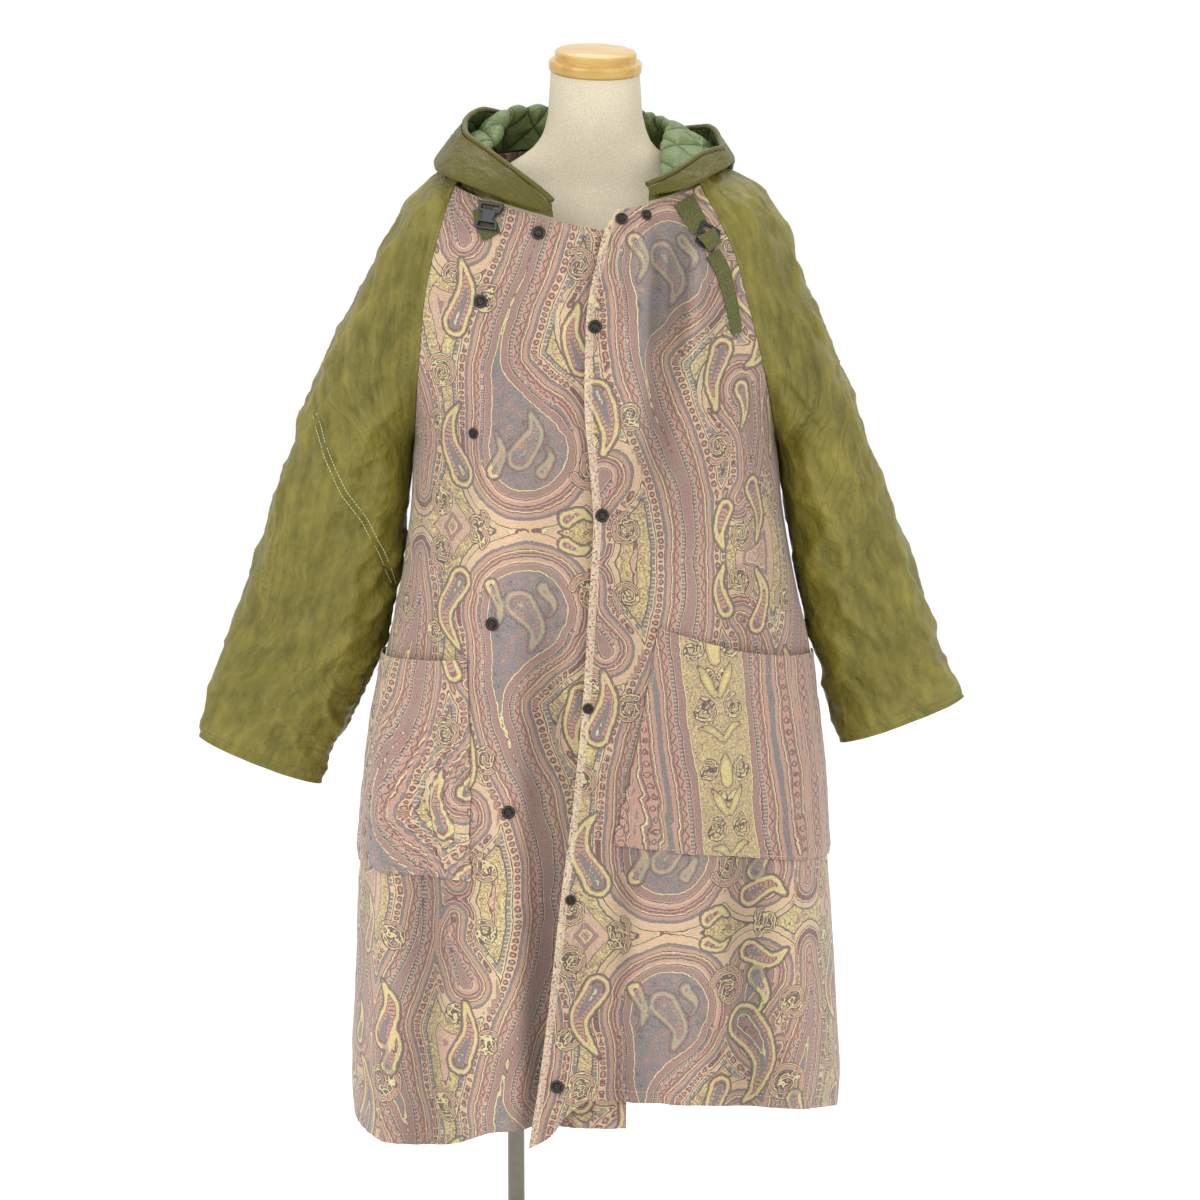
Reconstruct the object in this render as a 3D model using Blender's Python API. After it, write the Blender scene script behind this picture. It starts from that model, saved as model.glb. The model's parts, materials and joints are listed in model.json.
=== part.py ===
"""A long hooded raglan coat, worn open on a limbless dress form that stands on a pole.

Frame: +Z up, -Y is the wearer's front, +X is the wearer's left. The floor is z = 0 and the origin is
the centre of the base plate's underside. Tables hold millimetres; everything is turned into metres.

The coat is cut as two fronts, one back, two raglan sleeves and a quilted hood, with two patch
pockets, ring snaps down both fronts and two webbing straps. Each cloth piece is a wall whose
outer face is a grid of sections worked out from the tables below.
"""

import bpy
import numpy as np
from mathutils.bvhtree import BVHTree

MM = 0.001
SEAM_GAP = 0.25 * MM          # each edge stands back this far from the sewing line
UNDERARM_DEPTH = 1.7          # the corner where three pieces meet is this much thicker than their walls
COAT_WALL = 3.0 * MM
SLEEVE_WALL = 2.6 * MM
SQUARENESS = 2.25             # exponent of the body's rounded sections

# ------------------------------------------------------------------ the sleeves' sections
# station: seam (sx, sz) is the raglan seam or, below the underarm, the inner edge of the tube;
# (ox, oz) is the outer edge; depth is half the section's depth front to back; cut is the angle
# in degrees at which the raglan seam slices the section (0 from the underarm down);
# (bx, bz) move the back seam towards the neck.
SLEEVE_COLUMNS = ("sx", "sz", "ox", "oz", "depth", "cut", "bx", "bz")
UNDERARM = 7                  # station of the underarm in both tables
SLEEVE_BACKSET = 14.0         # the tubes hang this far behind the body's widest line
SLEEVE_RIGHT = (
    (163, 1428, 150, 1465, 85, 90, -36, 34),
    (176, 1390, 206, 1427, 100, 90, -22, 16),
    (188, 1345, 238, 1387, 110, 90, -12, 8),
    (197, 1300, 262, 1345, 115, 88, -5, 4),
    (203, 1242, 292, 1286, 112, 78, 0, 0),
    (208, 1195, 316, 1238, 104, 58, 0, 0),
    (213, 1150, 334, 1196, 94, 30, 0, 0),
    (218, 1115, 349, 1161, 84, 0, 0, 0),
    (223, 1055, 369, 1103, 79, 0, 0, 0),
    (230, 1000, 389, 1049, 76, 0, 0, 0),
    (240, 940, 408, 993, 73, 0, 0, 0),
    (254, 885, 427, 945, 70, 0, 0, 0),
    (274, 836, 442, 897, 65, 0, 0, 0),
    (293, 798, 456, 857, 57, 0, 0, 0),
    (313, 763, 470, 820, 48, 0, 0, 0),
    (327, 730, 480, 787, 41, 0, 0, 0),
    (335, 707, 483, 766, 37, 0, 0, 0),
)
SLEEVE_LEFT = (
    (118, 1429, 114, 1456, 85, 90, -8, 28),
    (143, 1384, 184, 1430, 98, 90, -8, 18),
    (160, 1345, 217, 1387, 108, 90, -4, 12),
    (172, 1300, 238, 1334, 113, 88, 0, 4),
    (187, 1242, 264, 1270, 112, 78, 0, 0),
    (198, 1195, 284, 1222, 104, 58, 0, 0),
    (207, 1150, 303, 1176, 94, 30, 0, 0),
    (214, 1115, 320, 1133, 84, 0, 0, 0),
    (222, 1055, 344, 1074, 81, 0, 0, 0),
    (231, 1000, 366, 1019, 79, 0, 0, 0),
    (243, 940, 387, 959, 77, 0, 0, 0),
    (257, 885, 405, 906, 74, 0, 0, 0),
    (272, 838, 419, 868, 68, 0, 0, 0),
    (281, 803, 430, 842, 60, 0, 0, 0),
    (289, 778, 438, 826, 50, 0, 0, 0),
    (295, 758, 444, 815, 41, 0, 0, 0),
)

# ------------------------------------------------------------------ the body's sections
# height: half width to the wearer's right and left, depth in front and behind.
BODY_COLUMNS = ("z", "right", "left", "front", "back")
BODY = (
    (1470, 170, 130, 122, 84),
    (1400, 190, 150, 131, 112),
    (1346, 200, 165, 143, 126),
    (1280, 204, 180, 153, 136),
    (1190, 210, 198, 159, 141),
    (1115, 218, 214, 161, 138),
    (1055, 221, 220, 165, 136),
    (1000, 228, 229, 168, 138),
    (940, 238, 241, 171, 142),
    (885, 251, 254, 175, 148),
    (836, 260, 260, 178, 153),
    (760, 273, 269, 182, 160),
    (650, 286, 277, 187, 167),
    (540, 293, 286, 191, 172),
    (425, 297, 293, 195, 177),
    (348, 300, 298, 198, 180),
    (300, 296, 295, 199, 181),
)
# height of each cap row at the front edge and the centre back, from the neckline to the underarm
CAP_FRONT_RIGHT = (1377, 1345, 1308, 1270, 1226, 1188, 1150, 1115)
CAP_FRONT_LEFT = (1403, 1366, 1322, 1280, 1232, 1191, 1150, 1115)
CAP_BACK = (1468, 1428, 1384, 1336, 1280, 1224, 1168, 1115)
NECK_DROP = 1.4               # how late the neckline climbs from the front edge to the raglan seam
BACK_NECK_DROP = 2.2
# hem height from the front edge (0) to the side seam (1)
HEM_RIGHT = ((0.0, 338), (0.3, 336), (0.42, 314), (0.58, 300), (0.8, 300), (1.0, 305))
HEM_LEFT = ((0.0, 322), (0.05, 336), (0.1, 366), (0.15, 380), (0.35, 370), (0.55, 356), (0.78, 334), (1.0, 306))
HEM_BACK = 303
LOWEST_HEM = 340              # a fold that ends above this fades out, one that ends below runs to the hem
# x of the free front edges down the coat, millimetres from the middle
EDGE_RIGHT = ((1380, 30), (1200, 34), (900, 36), (600, 36), (340, 34))
EDGE_LEFT = (
    (1403, 23), (1380, 9), (1346, 0), (1279, -12), (1189, -14), (1109, -8), (1052, -4),
    (961, -9), (846, -16), (730, -27), (613, -42), (495, -55), (401, -67), (325, -79),
)
# how far the left front lies in front of the body's sections down its edge
EDGE_LIFT = ((1403, 8), (1150, 8), (900, 9), (600, 12), (325, 17))
LIFT_WIDTH = (78, 34)         # distances from the middle between which the lift grows
# how far the right front lies behind them where the left one covers it
EDGE_RECESS = ((1380, 0), (1250, 1), (1000, 5), (700, 9), (338, 12))
RECESS_WIDTH = (96, 52)
SIDE_SEAM_TURN = {"right": -14.0, "left": 0.0}   # degrees the side seam sits behind the side

CAP_ROWS = 8
SKIRT_ROWS = 12
FRONT_COLUMNS = 14
BACK_COLUMNS = 20
SLEEVE_TUBE_ROWS = 9
SLEEVE_AROUND = 18

# ------------------------------------------------------------------ folds
# on a front: u is the distance from the middle towards the side, (u, z) of the upper and lower
# end, half width, height (minus is a valley).
FOLDS_RIGHT = (
    (60, 1010, 62, 330, 26, -13),
    (118, 1250, 112, 330, 30, 7),
    (205, 960, 215, 280, 30, -9),
    (262, 1010, 270, 280, 26, 7),
)
FOLDS_LEFT = (
    (90, 1420, 66, 1060, 20, -9),
    (56, 1430, 36, 1080, 22, 4),
    (46, 900, 22, 300, 16, -8),
    (108, 1080, 92, 300, 32, 8),
    (172, 1000, 188, 280, 34, -9),
    (240, 1010, 262, 280, 32, 5),
)
FOLDS_BACK = (
    (-205, 960, -215, 280, 30, 8),
    (-130, 1180, -140, 280, 36, -10),
    (-45, 1240, -52, 280, 34, 9),
    (40, 1180, 46, 280, 32, -9),
    (120, 1120, 132, 280, 34, 10),
    (205, 980, 214, 280, 30, -8),
)
# on a sleeve: station and angle (degrees, 0 at the inner edge, 90 in front, 180 outside) of both
# ends, half width, height.
SLEEVE_FOLDS_RIGHT = (
    (1.0, 128, 6.6, 96, 24, -6),
    (8.2, 84, 14.6, 118, 24, -6),
    (3.0, 226, 9.5, 252, 24, -6),
    (9.5, 296, 14.8, 250, 24, 5),
)
SLEEVE_FOLDS_LEFT = (
    (1.0, 120, 7.2, 100, 24, -6),
    (8.0, 108, 13.6, 78, 24, -6),
    (3.0, 226, 9.5, 252, 24, -6),
    (9.0, 290, 14.0, 254, 24, 5),
)


# ------------------------------------------------------------------ tools
def curve_through(keys, values):
    """A smooth function through a table: cubic between rows, with slopes that never overshoot."""
    keys = np.asarray(keys, float)
    values = np.asarray(values, float)
    order = np.argsort(keys)
    keys, values = keys[order], values[order]
    steps = np.diff(keys)
    slopes = np.diff(values) / steps
    tangents = np.zeros_like(values)
    same_way = slopes[:-1] * slopes[1:] > 0
    mean = (steps[:-1] + steps[1:]) * slopes[:-1] * slopes[1:]
    weight = steps[1:] * slopes[1:] + steps[:-1] * slopes[:-1]
    inner = np.where(same_way, mean / np.where(same_way, weight, 1.0), 0.0)
    tangents[1:-1] = inner
    tangents[0], tangents[-1] = slopes[0], slopes[-1]

    def at(key):
        key = np.clip(np.asarray(key, float), keys[0], keys[-1])
        i = np.clip(np.searchsorted(keys, key) - 1, 0, len(keys) - 2)
        h = steps[i]
        s = (key - keys[i]) / h
        blend = s * s * (3 - 2 * s)
        value = values[i] + blend * (values[i + 1] - values[i])
        return value + h * s * (1 - s) * ((1 - s) * tangents[i] - s * tangents[i + 1])

    return at


def step(low, high, value):
    """0 below low, 1 above high, smooth between."""
    s = np.clip((value - low) / (high - low), 0, 1)
    return s * s * (3 - 2 * s)


def columns(table, names):
    """A table's columns as smooth functions of its row number."""
    rows = np.asarray(table, float)
    return {name: curve_through(np.arange(len(rows)), rows[:, i]) for i, name in enumerate(names)}


def by_height(table, names):
    rows = np.asarray(table, float)
    return {name: curve_through(rows[:, 0], rows[:, i]) for i, name in enumerate(names) if i}


SLEEVES = {"right": columns(SLEEVE_RIGHT, SLEEVE_COLUMNS), "left": columns(SLEEVE_LEFT, SLEEVE_COLUMNS)}
LAST_STATION = {"right": len(SLEEVE_RIGHT) - 1, "left": len(SLEEVE_LEFT) - 1}
BODY_AT = by_height(BODY, BODY_COLUMNS)
SIGN = {"right": -1.0, "left": 1.0}
CAP_STATIONS = np.arange(UNDERARM + 1)
CAP_FRONT = {
    "right": curve_through(CAP_STATIONS, CAP_FRONT_RIGHT),
    "left": curve_through(CAP_STATIONS, CAP_FRONT_LEFT),
}
CAP_CENTRE_BACK = curve_through(CAP_STATIONS, CAP_BACK)
HEM = {"right": curve_through(*zip(*HEM_RIGHT)), "left": curve_through(*zip(*HEM_LEFT))}
EDGE = {"right": curve_through(*zip(*EDGE_RIGHT)), "left": curve_through(*zip(*EDGE_LEFT))}


def power(value):
    """The signed power that squares up a circle's sine or cosine."""
    return np.sign(value) * np.abs(value) ** (2 / SQUARENESS)


def fold_height(table, across, along, key):
    """Sum of the folds in a table at points (across, along), where along runs as key says."""
    total = np.zeros(np.broadcast(across, along).shape)
    for a0, s0, a1, s1, width, height in table:
        if key == "drop":
            across0, along0, across1, along1 = a0, s0, a1, s1
        else:
            across0, along0, across1, along1 = s0, a0, s1, a1
        s = (along - along0) / (along1 - along0)
        middle = across0 + (across1 - across0) * np.clip(s, 0, 1)
        fade = step(-0.02, 0.35, s)
        if key != "drop" or along1 > LOWEST_HEM:
            fade = fade * step(1.05, 0.7, s)
        total += height * fade * np.exp(-(((across - middle) / width) ** 2))
    return total


# ------------------------------------------------------------------ sections of the coat
def sleeve_section(side, station):
    at = {name: float(fn(station)) for name, fn in SLEEVES[side].items()}
    seam = np.array([SIGN[side] * at["sx"], at["sz"]])
    outer = np.array([SIGN[side] * at["ox"], at["oz"]])
    cut = np.radians(at["cut"]) if station < UNDERARM else 0.0
    reach = np.linalg.norm(outer - seam)
    half = reach / (1 + np.cos(cut))
    direction = (outer - seam) / reach
    return {"cut": cut, "half": half, "direction": direction, "centre": outer - half * direction,
            "depth": at["depth"], "back": (SIGN[side] * at["bx"], at["bz"])}


def sleeve_points(side, station, share):
    """Points round a sleeve section, share 0 to 1 from the front seam over the outside to the back."""
    s = sleeve_section(side, station)
    angle = s["cut"] + (2 * np.pi - 2 * s["cut"]) * share
    along = -s["half"] * np.cos(angle)
    behind = np.clip(-np.sin(angle), 0, None) ** 2
    x = s["centre"][0] + along * s["direction"][0] + s["back"][0] * behind
    z = s["centre"][1] + along * s["direction"][1] + s["back"][1] * behind
    y = SLEEVE_BACKSET * step(UNDERARM, UNDERARM + 1.6, station) - s["depth"] * np.sin(angle)
    return np.stack([x, y, z], -1), np.degrees(angle)


def resample(points, lengths, wanted):
    """Points at the wanted distances along a polyline."""
    return np.stack([np.interp(wanted, lengths, points[:, i]) for i in range(points.shape[1])], -1)


def body_row(side, seam_x, seam_y, half, depth, back_depth, turn):
    """A quarter section as a polyline (x, y) from the seam to the middle and flat beyond it."""
    if seam_x is not None:
        turn = np.arcsin(np.clip(-seam_y / depth, 0, 0.98) ** (SQUARENESS / 2))
        half = abs(seam_x) / power(np.cos(turn))
    angle = np.linspace(turn, np.pi / 2, 90)
    y = np.where(angle >= 0, -depth, -back_depth) * power(np.sin(angle))
    x = half * power(np.cos(angle)) * SIGN[side]
    if seam_x is not None:
        x[0], y[0] = seam_x, seam_y
    beyond = np.linspace(1.5, 130, 60)
    return np.stack([np.r_[x, -SIGN[side] * beyond], np.r_[y, np.full(60, -depth)]], -1)


def front_grid(side, cap_rows, skirt_rows, column_count):
    """Grid of a front, rows from the neckline down, columns from the side to the front edge."""
    rows, distance = [], []
    stations = np.r_[np.linspace(0, UNDERARM, cap_rows), np.linspace(0, 1, skirt_rows + 1)[1:] + UNDERARM]
    share = np.linspace(0, 1, column_count)
    for station in stations:
        if station <= UNDERARM:
            seam = sleeve_points(side, station, np.array([0.0]))[0][0]
            z_edge, z_seam = float(CAP_FRONT[side](station)), seam[2]
            heights = z_seam + (z_edge - z_seam) * (1 - (1 - share) ** NECK_DROP)
            depth = float(BODY_AT["front"](z_edge))
            line = body_row(side, seam[0], seam[1], 0, depth, depth, 0)
            edge_at = z_edge
        else:
            drop = station - UNDERARM
            z_under = sleeve_points(side, UNDERARM, np.array([0.0]))[0][0][2]
            hem = HEM[side](1 - share)
            heights = z_under + (hem - z_under) * drop
            z_side, edge_at = heights[0], heights[-1]
            middle = float(np.interp(0.8, share, heights))
            turn = np.radians(SIDE_SEAM_TURN[side]) * step(1060, 930, z_side)
            line = body_row(side, None, None, float(BODY_AT[side](z_side)),
                            float(BODY_AT["front"](middle)), float(BODY_AT["back"](z_side)), turn)
        lengths = np.r_[0, np.cumsum(np.linalg.norm(np.diff(line, axis=0), axis=1))]
        to_edge = np.interp(-SIGN[side] * float(EDGE[side](edge_at)), -SIGN[side] * line[:, 0], lengths)
        to_middle = np.interp(0.0, -SIGN[side] * line[:, 0], lengths)
        at = resample(line, lengths, share * to_edge)
        rows.append(np.c_[at, heights])
        distance.append(to_middle - share * to_edge)
    grid, u = np.array(rows), np.array(distance)
    if side == "left":
        grid[..., 1] -= curve_through(*zip(*EDGE_LIFT))(grid[..., 2]) * step(*LIFT_WIDTH, u)
    else:
        grid[..., 1] += curve_through(*zip(*EDGE_RECESS))(grid[..., 2]) * step(*RECESS_WIDTH, u)
    return grid, u


def back_grid(cap_rows, skirt_rows, column_count):
    """Grid of the back, columns from the right seam to the left one."""
    rows, distance = [], []
    stations = np.r_[np.linspace(0, UNDERARM, cap_rows), np.linspace(0, 1, skirt_rows + 1)[1:] + UNDERARM]
    half_count = column_count // 2
    share = np.linspace(0, 1, half_count + 1)
    for station in stations:
        halves = []
        for side in ("right", "left"):
            if station <= UNDERARM:
                seam = sleeve_points(side, station, np.array([1.0]))[0][0]
                z_middle = float(CAP_CENTRE_BACK(station))
                heights = seam[2] + (z_middle - seam[2]) * (1 - (1 - share) ** BACK_NECK_DROP)
                depth = float(BODY_AT["back"](z_middle))
                depth = max(depth, abs(seam[1]) + 2.0)
                line = body_row(side, seam[0], -seam[1], 0, depth, depth, 0)
            else:
                drop = station - UNDERARM
                z_under = sleeve_points(side, UNDERARM, np.array([0.0]))[0][0][2]
                hem_side = float(HEM[side](1.0))
                hem = hem_side + (HEM_BACK - hem_side) * step(0, 0.5, share)
                heights = z_under + (hem - z_under) * drop
                depth = float(BODY_AT["back"](heights[-1]))
                turn = np.radians(-SIDE_SEAM_TURN[side]) * step(1060, 930, heights[0])
                side_depth = float(BODY_AT["back"](heights[0]))
                line = body_row(side, None, None, float(BODY_AT[side](heights[0])), side_depth, side_depth, turn)
                line[:91, 1] *= np.linspace(1, depth / side_depth, 91)
            line = line[:91]
            line[90] = (0.0, line[89, 1])
            line[:, 1] *= -1
            lengths = np.r_[0, np.cumsum(np.linalg.norm(np.diff(line, axis=0), axis=1))]
            at = np.c_[resample(line, lengths, share * lengths[-1]), heights]
            halves.append((at, SIGN[side] * (lengths[-1] * (1 - share))))
        (right, ru), (left, lu) = halves
        rows.append(np.r_[right, left[-2::-1]])
        distance.append(np.r_[ru, lu[-2::-1]])
    return np.array(rows), np.array(distance)


# ------------------------------------------------------------------ meshes
def grid_normals(grid, flip):
    """Unit normals of a grid by its rows' and columns' directions."""
    down = np.gradient(grid, axis=0)
    across = np.gradient(grid, axis=1)
    normal = np.cross(down, across)
    normal /= np.maximum(np.linalg.norm(normal, axis=2), 1e-9)[..., None]
    return -normal if flip else normal


class Sheet:
    """A cloth face: points, quads and how far its wall reaches behind each point."""

    def __init__(self, name, grid, thickness, flip=False, index=None):
        if index is None:
            index = np.arange(grid.shape[0] * grid.shape[1]).reshape(grid.shape[:2])
        quads = np.stack([index[:-1, :-1], index[1:, :-1], index[1:, 1:], index[:-1, 1:]], -1).reshape(-1, 4)
        if flip:
            quads = quads[:, [0, 3, 2, 1]]
        used, quads = np.unique(quads, return_inverse=True)
        self.name = name
        self.points = grid.reshape(-1, 3)[used]
        self.quads = quads.reshape(-1, 4)
        self.thickness = np.broadcast_to(thickness, grid.shape[:2]).reshape(-1)[used]
        corners = self.points[self.quads]
        first = np.linalg.norm(corners[:, 0] - corners[:, 2], axis=1)
        second = np.linalg.norm(corners[:, 1] - corners[:, 3], axis=1)
        turned = (second < first)[:, None]      # quads are cut along their shorter diagonal
        self.quads = np.where(turned, np.roll(self.quads, -1, axis=1), self.quads)
        corners = self.points[self.quads]
        total = np.zeros_like(self.points)
        for trio in ((0, 1, 2), (0, 2, 3)):
            a, b, c = (corners[:, i] for i in trio)
            faces = np.cross(b - a, c - a)
            faces /= np.maximum(np.linalg.norm(faces, axis=1), 1e-9)[:, None]
            for i in trio:
                np.add.at(total, self.quads[:, i], faces)
        self.normals = total / np.maximum(np.linalg.norm(total, axis=1), 1e-9)[:, None]


def join_seams(body, sleeves):
    """Gives sheets that meet at a point one normal there, and draws their edges a gap apart."""
    sheets = body + sleeves
    places_at = {}
    for s, sheet in enumerate(sheets):
        for v, point in enumerate(np.round(sheet.points, 3) + 0.0):
            places_at.setdefault(tuple(point), []).append((s, v))
    shared = [set() for _ in sheets]
    for places in places_at.values():
        if len({s for s, _ in places}) < 2:
            continue
        own = []
        for group in (body, sleeves):
            part = sum((sheets[s].normals[v] for s, v in places if sheets[s] in group), np.zeros(3))
            own.append(part / max(np.linalg.norm(part), 1e-9))
        normal = (own[0] + own[1]) / np.linalg.norm(own[0] + own[1])
        thickness = min(sheets[s].thickness[v] for s, v in places)
        corner = len({s for s, _ in places}) > 2
        for s, v in places:
            apart = own[sheets[s] in sleeves] if corner else 0.0
            sheets[s].normals[v] = (normal + 0.7 * apart) / np.linalg.norm(normal + 0.7 * apart)
            sheets[s].thickness[v] = thickness * (UNDERARM_DEPTH if corner else 1.0)
            shared[s].add(v)
    for sheet, members in zip(sheets, shared):
        inward = np.zeros_like(sheet.points)
        for quad in sheet.quads:
            inside = [v for v in quad if v not in members]
            for v in quad:
                if v in members and inside:
                    inward[v] += sheet.points[inside].mean(axis=0) - sheet.points[v]
        for v in members:
            direction = inward[v] - sheet.normals[v] * (inward[v] @ sheet.normals[v])
            sheet.points[v] += SEAM_GAP / MM * direction / max(np.linalg.norm(direction), 1e-9)


def wall(name, outer, inner, quads, material):
    """The closed wall between an outer and an inner face, in millimetres."""
    count = len(outer)
    faces = []
    for a, b, c, d in quads:
        faces += [(a, b, c), (a, c, d), (a + count, c + count, b + count), (a + count, d + count, c + count)]
    edges = {(a, b) for quad in quads for a, b in zip(quad, np.roll(quad, -1))}
    for a, b in sorted(edges):
        if (b, a) not in edges:
            faces.append((b, a, a + count, b + count))
    return new_object(name, np.r_[outer, inner] * MM, faces, material)


def sheet_wall(sheet, material):
    inner = sheet.points - sheet.normals * sheet.thickness[:, None]
    return wall(sheet.name, sheet.points, inner, sheet.quads, material)


def new_object(name, points, faces, material, smooth=True):
    mesh = bpy.data.meshes.new(name)
    mesh.from_pydata([tuple(map(float, p)) for p in points], [], [tuple(map(int, f)) for f in faces])
    mesh.validate()
    if smooth:
        mesh.shade_smooth()
        mesh.set_sharp_from_angle(angle=np.radians(50))
    obj = bpy.data.objects.new(name, mesh)
    obj.data.materials.append(material)
    bpy.context.scene.collection.objects.link(obj)
    return obj


def finish(name, colour, roughness, metallic=0.0):
    material = bpy.data.materials.new(name)
    material.use_nodes = True
    shader = material.node_tree.nodes["Principled BSDF"]
    shader.inputs["Base Color"].default_value = (*colour, 1.0)
    shader.inputs["Roughness"].default_value = roughness
    shader.inputs["Metallic"].default_value = metallic
    return material


def clear_scene():
    for obj in list(bpy.data.objects):
        bpy.data.objects.remove(obj, do_unlink=True)


# ------------------------------------------------------------------ the coat's body and sleeves
def seam_fade(share, low=0.0, high=0.14):
    return step(low, high, share)


def front_sheet(side, cap_rows=CAP_ROWS, skirt_rows=SKIRT_ROWS, count=FRONT_COLUMNS):
    grid, u = front_grid(side, cap_rows, skirt_rows, count)
    flip = side == "left"
    folds = FOLDS_LEFT if flip else FOLDS_RIGHT
    share = np.linspace(0, 1, count)[None, :]
    height = fold_height(folds, u, grid[..., 2], "drop") * seam_fade(share)
    grid = grid + grid_normals(grid, flip) * height[..., None]
    thickness = np.full(u.shape, COAT_WALL / MM)
    return Sheet("front_" + side, grid, thickness, flip), grid, u


def back_sheet(cap_rows=CAP_ROWS, skirt_rows=SKIRT_ROWS, count=BACK_COLUMNS):
    grid, u = back_grid(cap_rows, skirt_rows, count)
    share = np.linspace(0, 1, grid.shape[1])[None, :]
    fade = seam_fade(share) * seam_fade(1 - share)
    height = fold_height(FOLDS_BACK, u, grid[..., 2], "drop") * fade
    grid = grid + grid_normals(grid, True) * height[..., None]
    return Sheet("back", grid, np.full(u.shape, COAT_WALL / MM), True), grid


def sleeve_sheet(side, cap_rows=CAP_ROWS, tube_rows=SLEEVE_TUBE_ROWS, around=SLEEVE_AROUND):
    last = LAST_STATION[side]
    stations = np.r_[np.linspace(0, UNDERARM, cap_rows), np.linspace(UNDERARM, last, tube_rows + 1)[1:]]
    share = np.linspace(0, 1, around + 1)
    rows, angles = zip(*[sleeve_points(side, station, share) for station in stations])
    grid, angles = np.array(rows), np.array(angles)
    flip = side == "right"
    folds = SLEEVE_FOLDS_RIGHT if flip else SLEEVE_FOLDS_LEFT
    height = fold_height(folds, angles, stations[:, None] + 0 * angles, "along")
    edge = seam_fade(share, 0, 0.1) * seam_fade(1 - share, 0, 0.1)
    open_rows = step(UNDERARM + 2, UNDERARM, stations)[:, None]
    height = height * (1 - open_rows * (1 - edge[None, :]))
    grid = grid + grid_normals(grid, flip) * height[..., None]
    index = np.arange(grid.shape[0] * grid.shape[1]).reshape(grid.shape[:2])
    index[cap_rows - 1:, -1] = index[cap_rows - 1:, 0]
    return Sheet("sleeve_" + side, grid, np.full(angles.shape, SLEEVE_WALL / MM), flip, index), grid


# ------------------------------------------------------------------ the hood
# Round the neck from the wearer's right front end to the left one. base is the neck seam, ridge
# the roll round the neck, mid a point on the way down, inner and outer the two corners of the
# bag's bottom, rim the face opening's edge. Each is x, y, z. The base is moved to the neckline.
HOOD = (
    ((-50, -132, 1391), (-50, -132, 1394), (-50, -132, 1397), (-51, -132, 1400), (-51, -133, 1403), (-51, -134, 1406)),
    ((-74, -128, 1397), (-74, -128, 1400), (-78, -130, 1403), (-84, -135, 1405), (-87, -134, 1411), (-74, -128, 1426)),
    ((-108, -118, 1407), (-109, -118, 1412), (-114, -121, 1418), (-123, -130, 1422), (-130, -129, 1430), (-104, -110, 1450)),
    ((-139, -104, 1418), (-137, -99, 1435), (-148, -106, 1443), (-166, -114, 1433), (-178, -110, 1442), (-133, -83, 1470)),
    ((-152, -43, 1460), (-120, -42, 1463), (-136, -44, 1478), (-176, -54, 1448), (-206, -60, 1440), (-155, -45, 1486)),
    ((-150, 0, 1465), (-102, -6, 1474), (-124, -4, 1496), (-174, 2, 1458), (-210, 0, 1446), (-157, -5, 1498)),
    ((-145, 38, 1469), (-92, 22, 1512), (-116, 44, 1522), (-162, 60, 1461), (-208, 62, 1431), (-138, 48, 1512)),
    ((-118, 85, 1463), (-72, 50, 1536), (-94, 92, 1512), (-138, 128, 1388), (-176, 150, 1340), (-110, 104, 1506)),
    ((-51, 87, 1467), (-46, 70, 1546), (-56, 120, 1508), (-78, 154, 1282), (-100, 210, 1252), (-62, 150, 1496)),
    ((0, 87, 1468), (0, 76, 1548), (0, 130, 1508), (0, 160, 1240), (0, 232, 1226), (0, 162, 1492)),
    ((48, 87, 1467), (42, 68, 1542), (50, 118, 1504), (74, 154, 1288), (96, 208, 1262), (60, 148, 1484)),
    ((96, 85, 1464), (64, 54, 1518), (86, 92, 1500), (130, 131, 1392), (168, 152, 1346), (112, 90, 1490)),
    ((111, 38, 1462), (70, 14, 1498), (98, 34, 1504), (142, 60, 1466), (188, 62, 1438), (136, 46, 1492)),
    ((112, 0, 1456), (66, -10, 1484), (88, -8, 1494), (138, 4, 1460), (176, 8, 1448), (147, 8, 1477)),
    ((113, -38, 1454), (60, -34, 1470), (80, -34, 1482), (132, -34, 1454), (174, -34, 1444), (148, -25, 1469)),
    ((115, -72, 1444), (60, -64, 1450), (78, -68, 1460), (119, -84, 1448), (150, -88, 1436), (126, -66, 1463)),
    ((107, -96, 1424), (64, -95, 1425), (78, -100, 1434), (101, -112, 1431), (126, -119, 1426), (100, -102, 1447)),
    ((83, -113, 1415), (68, -116, 1415), (71, -119, 1420), (82, -126, 1420), (94, -128, 1420), (78, -121, 1434)),
    ((60, -126, 1409), (60, -126, 1412), (60, -126, 1415), (60, -127, 1418), (60, -127, 1421), (59, -128, 1424)),
)
HOOD_SHELL_WALL = 2.0
HOOD_LINING_WALL = 3.0
QUILT_HEIGHT = 3.2
QUILT_PITCH = 54.0
HOOD_AROUND = 38
HOOD_UP = 15
HOOD_SMOOTHING = 3
HOOD_SEAM_RISE = 2.7          # of the neck seam above the coat's edge
HOOD_SIDES = 0.2             # half the space between shell and lining
RIM_RADIUS = 3.6
THINNEST = 0.5
PRESSINGS = 8


def spline_weights(t, count):
    """Weights of a clamped cubic B-spline over its control points."""
    knots = np.r_[np.zeros(3), np.linspace(0, 1, count - 2), np.ones(3)]
    t = np.clip(t, 0, 1 - 1e-9)
    weights = ((t[:, None] >= knots[:-1]) & (t[:, None] < knots[1:])).astype(float)
    for degree in (1, 2, 3):
        size = len(knots) - degree - 1
        left = knots[degree:degree + size] - knots[:size]
        right = knots[degree + 1:degree + 1 + size] - knots[1:1 + size]
        a = np.where(left > 0, (t[:, None] - knots[:size]) / np.where(left > 0, left, 1), 0)
        b = np.where(right > 0, (knots[degree + 1:degree + 1 + size] - t[:, None]) / np.where(right > 0, right, 1), 0)
        weights = a * weights[:, :size] + b * weights[:, 1:1 + size]
    return weights


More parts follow.
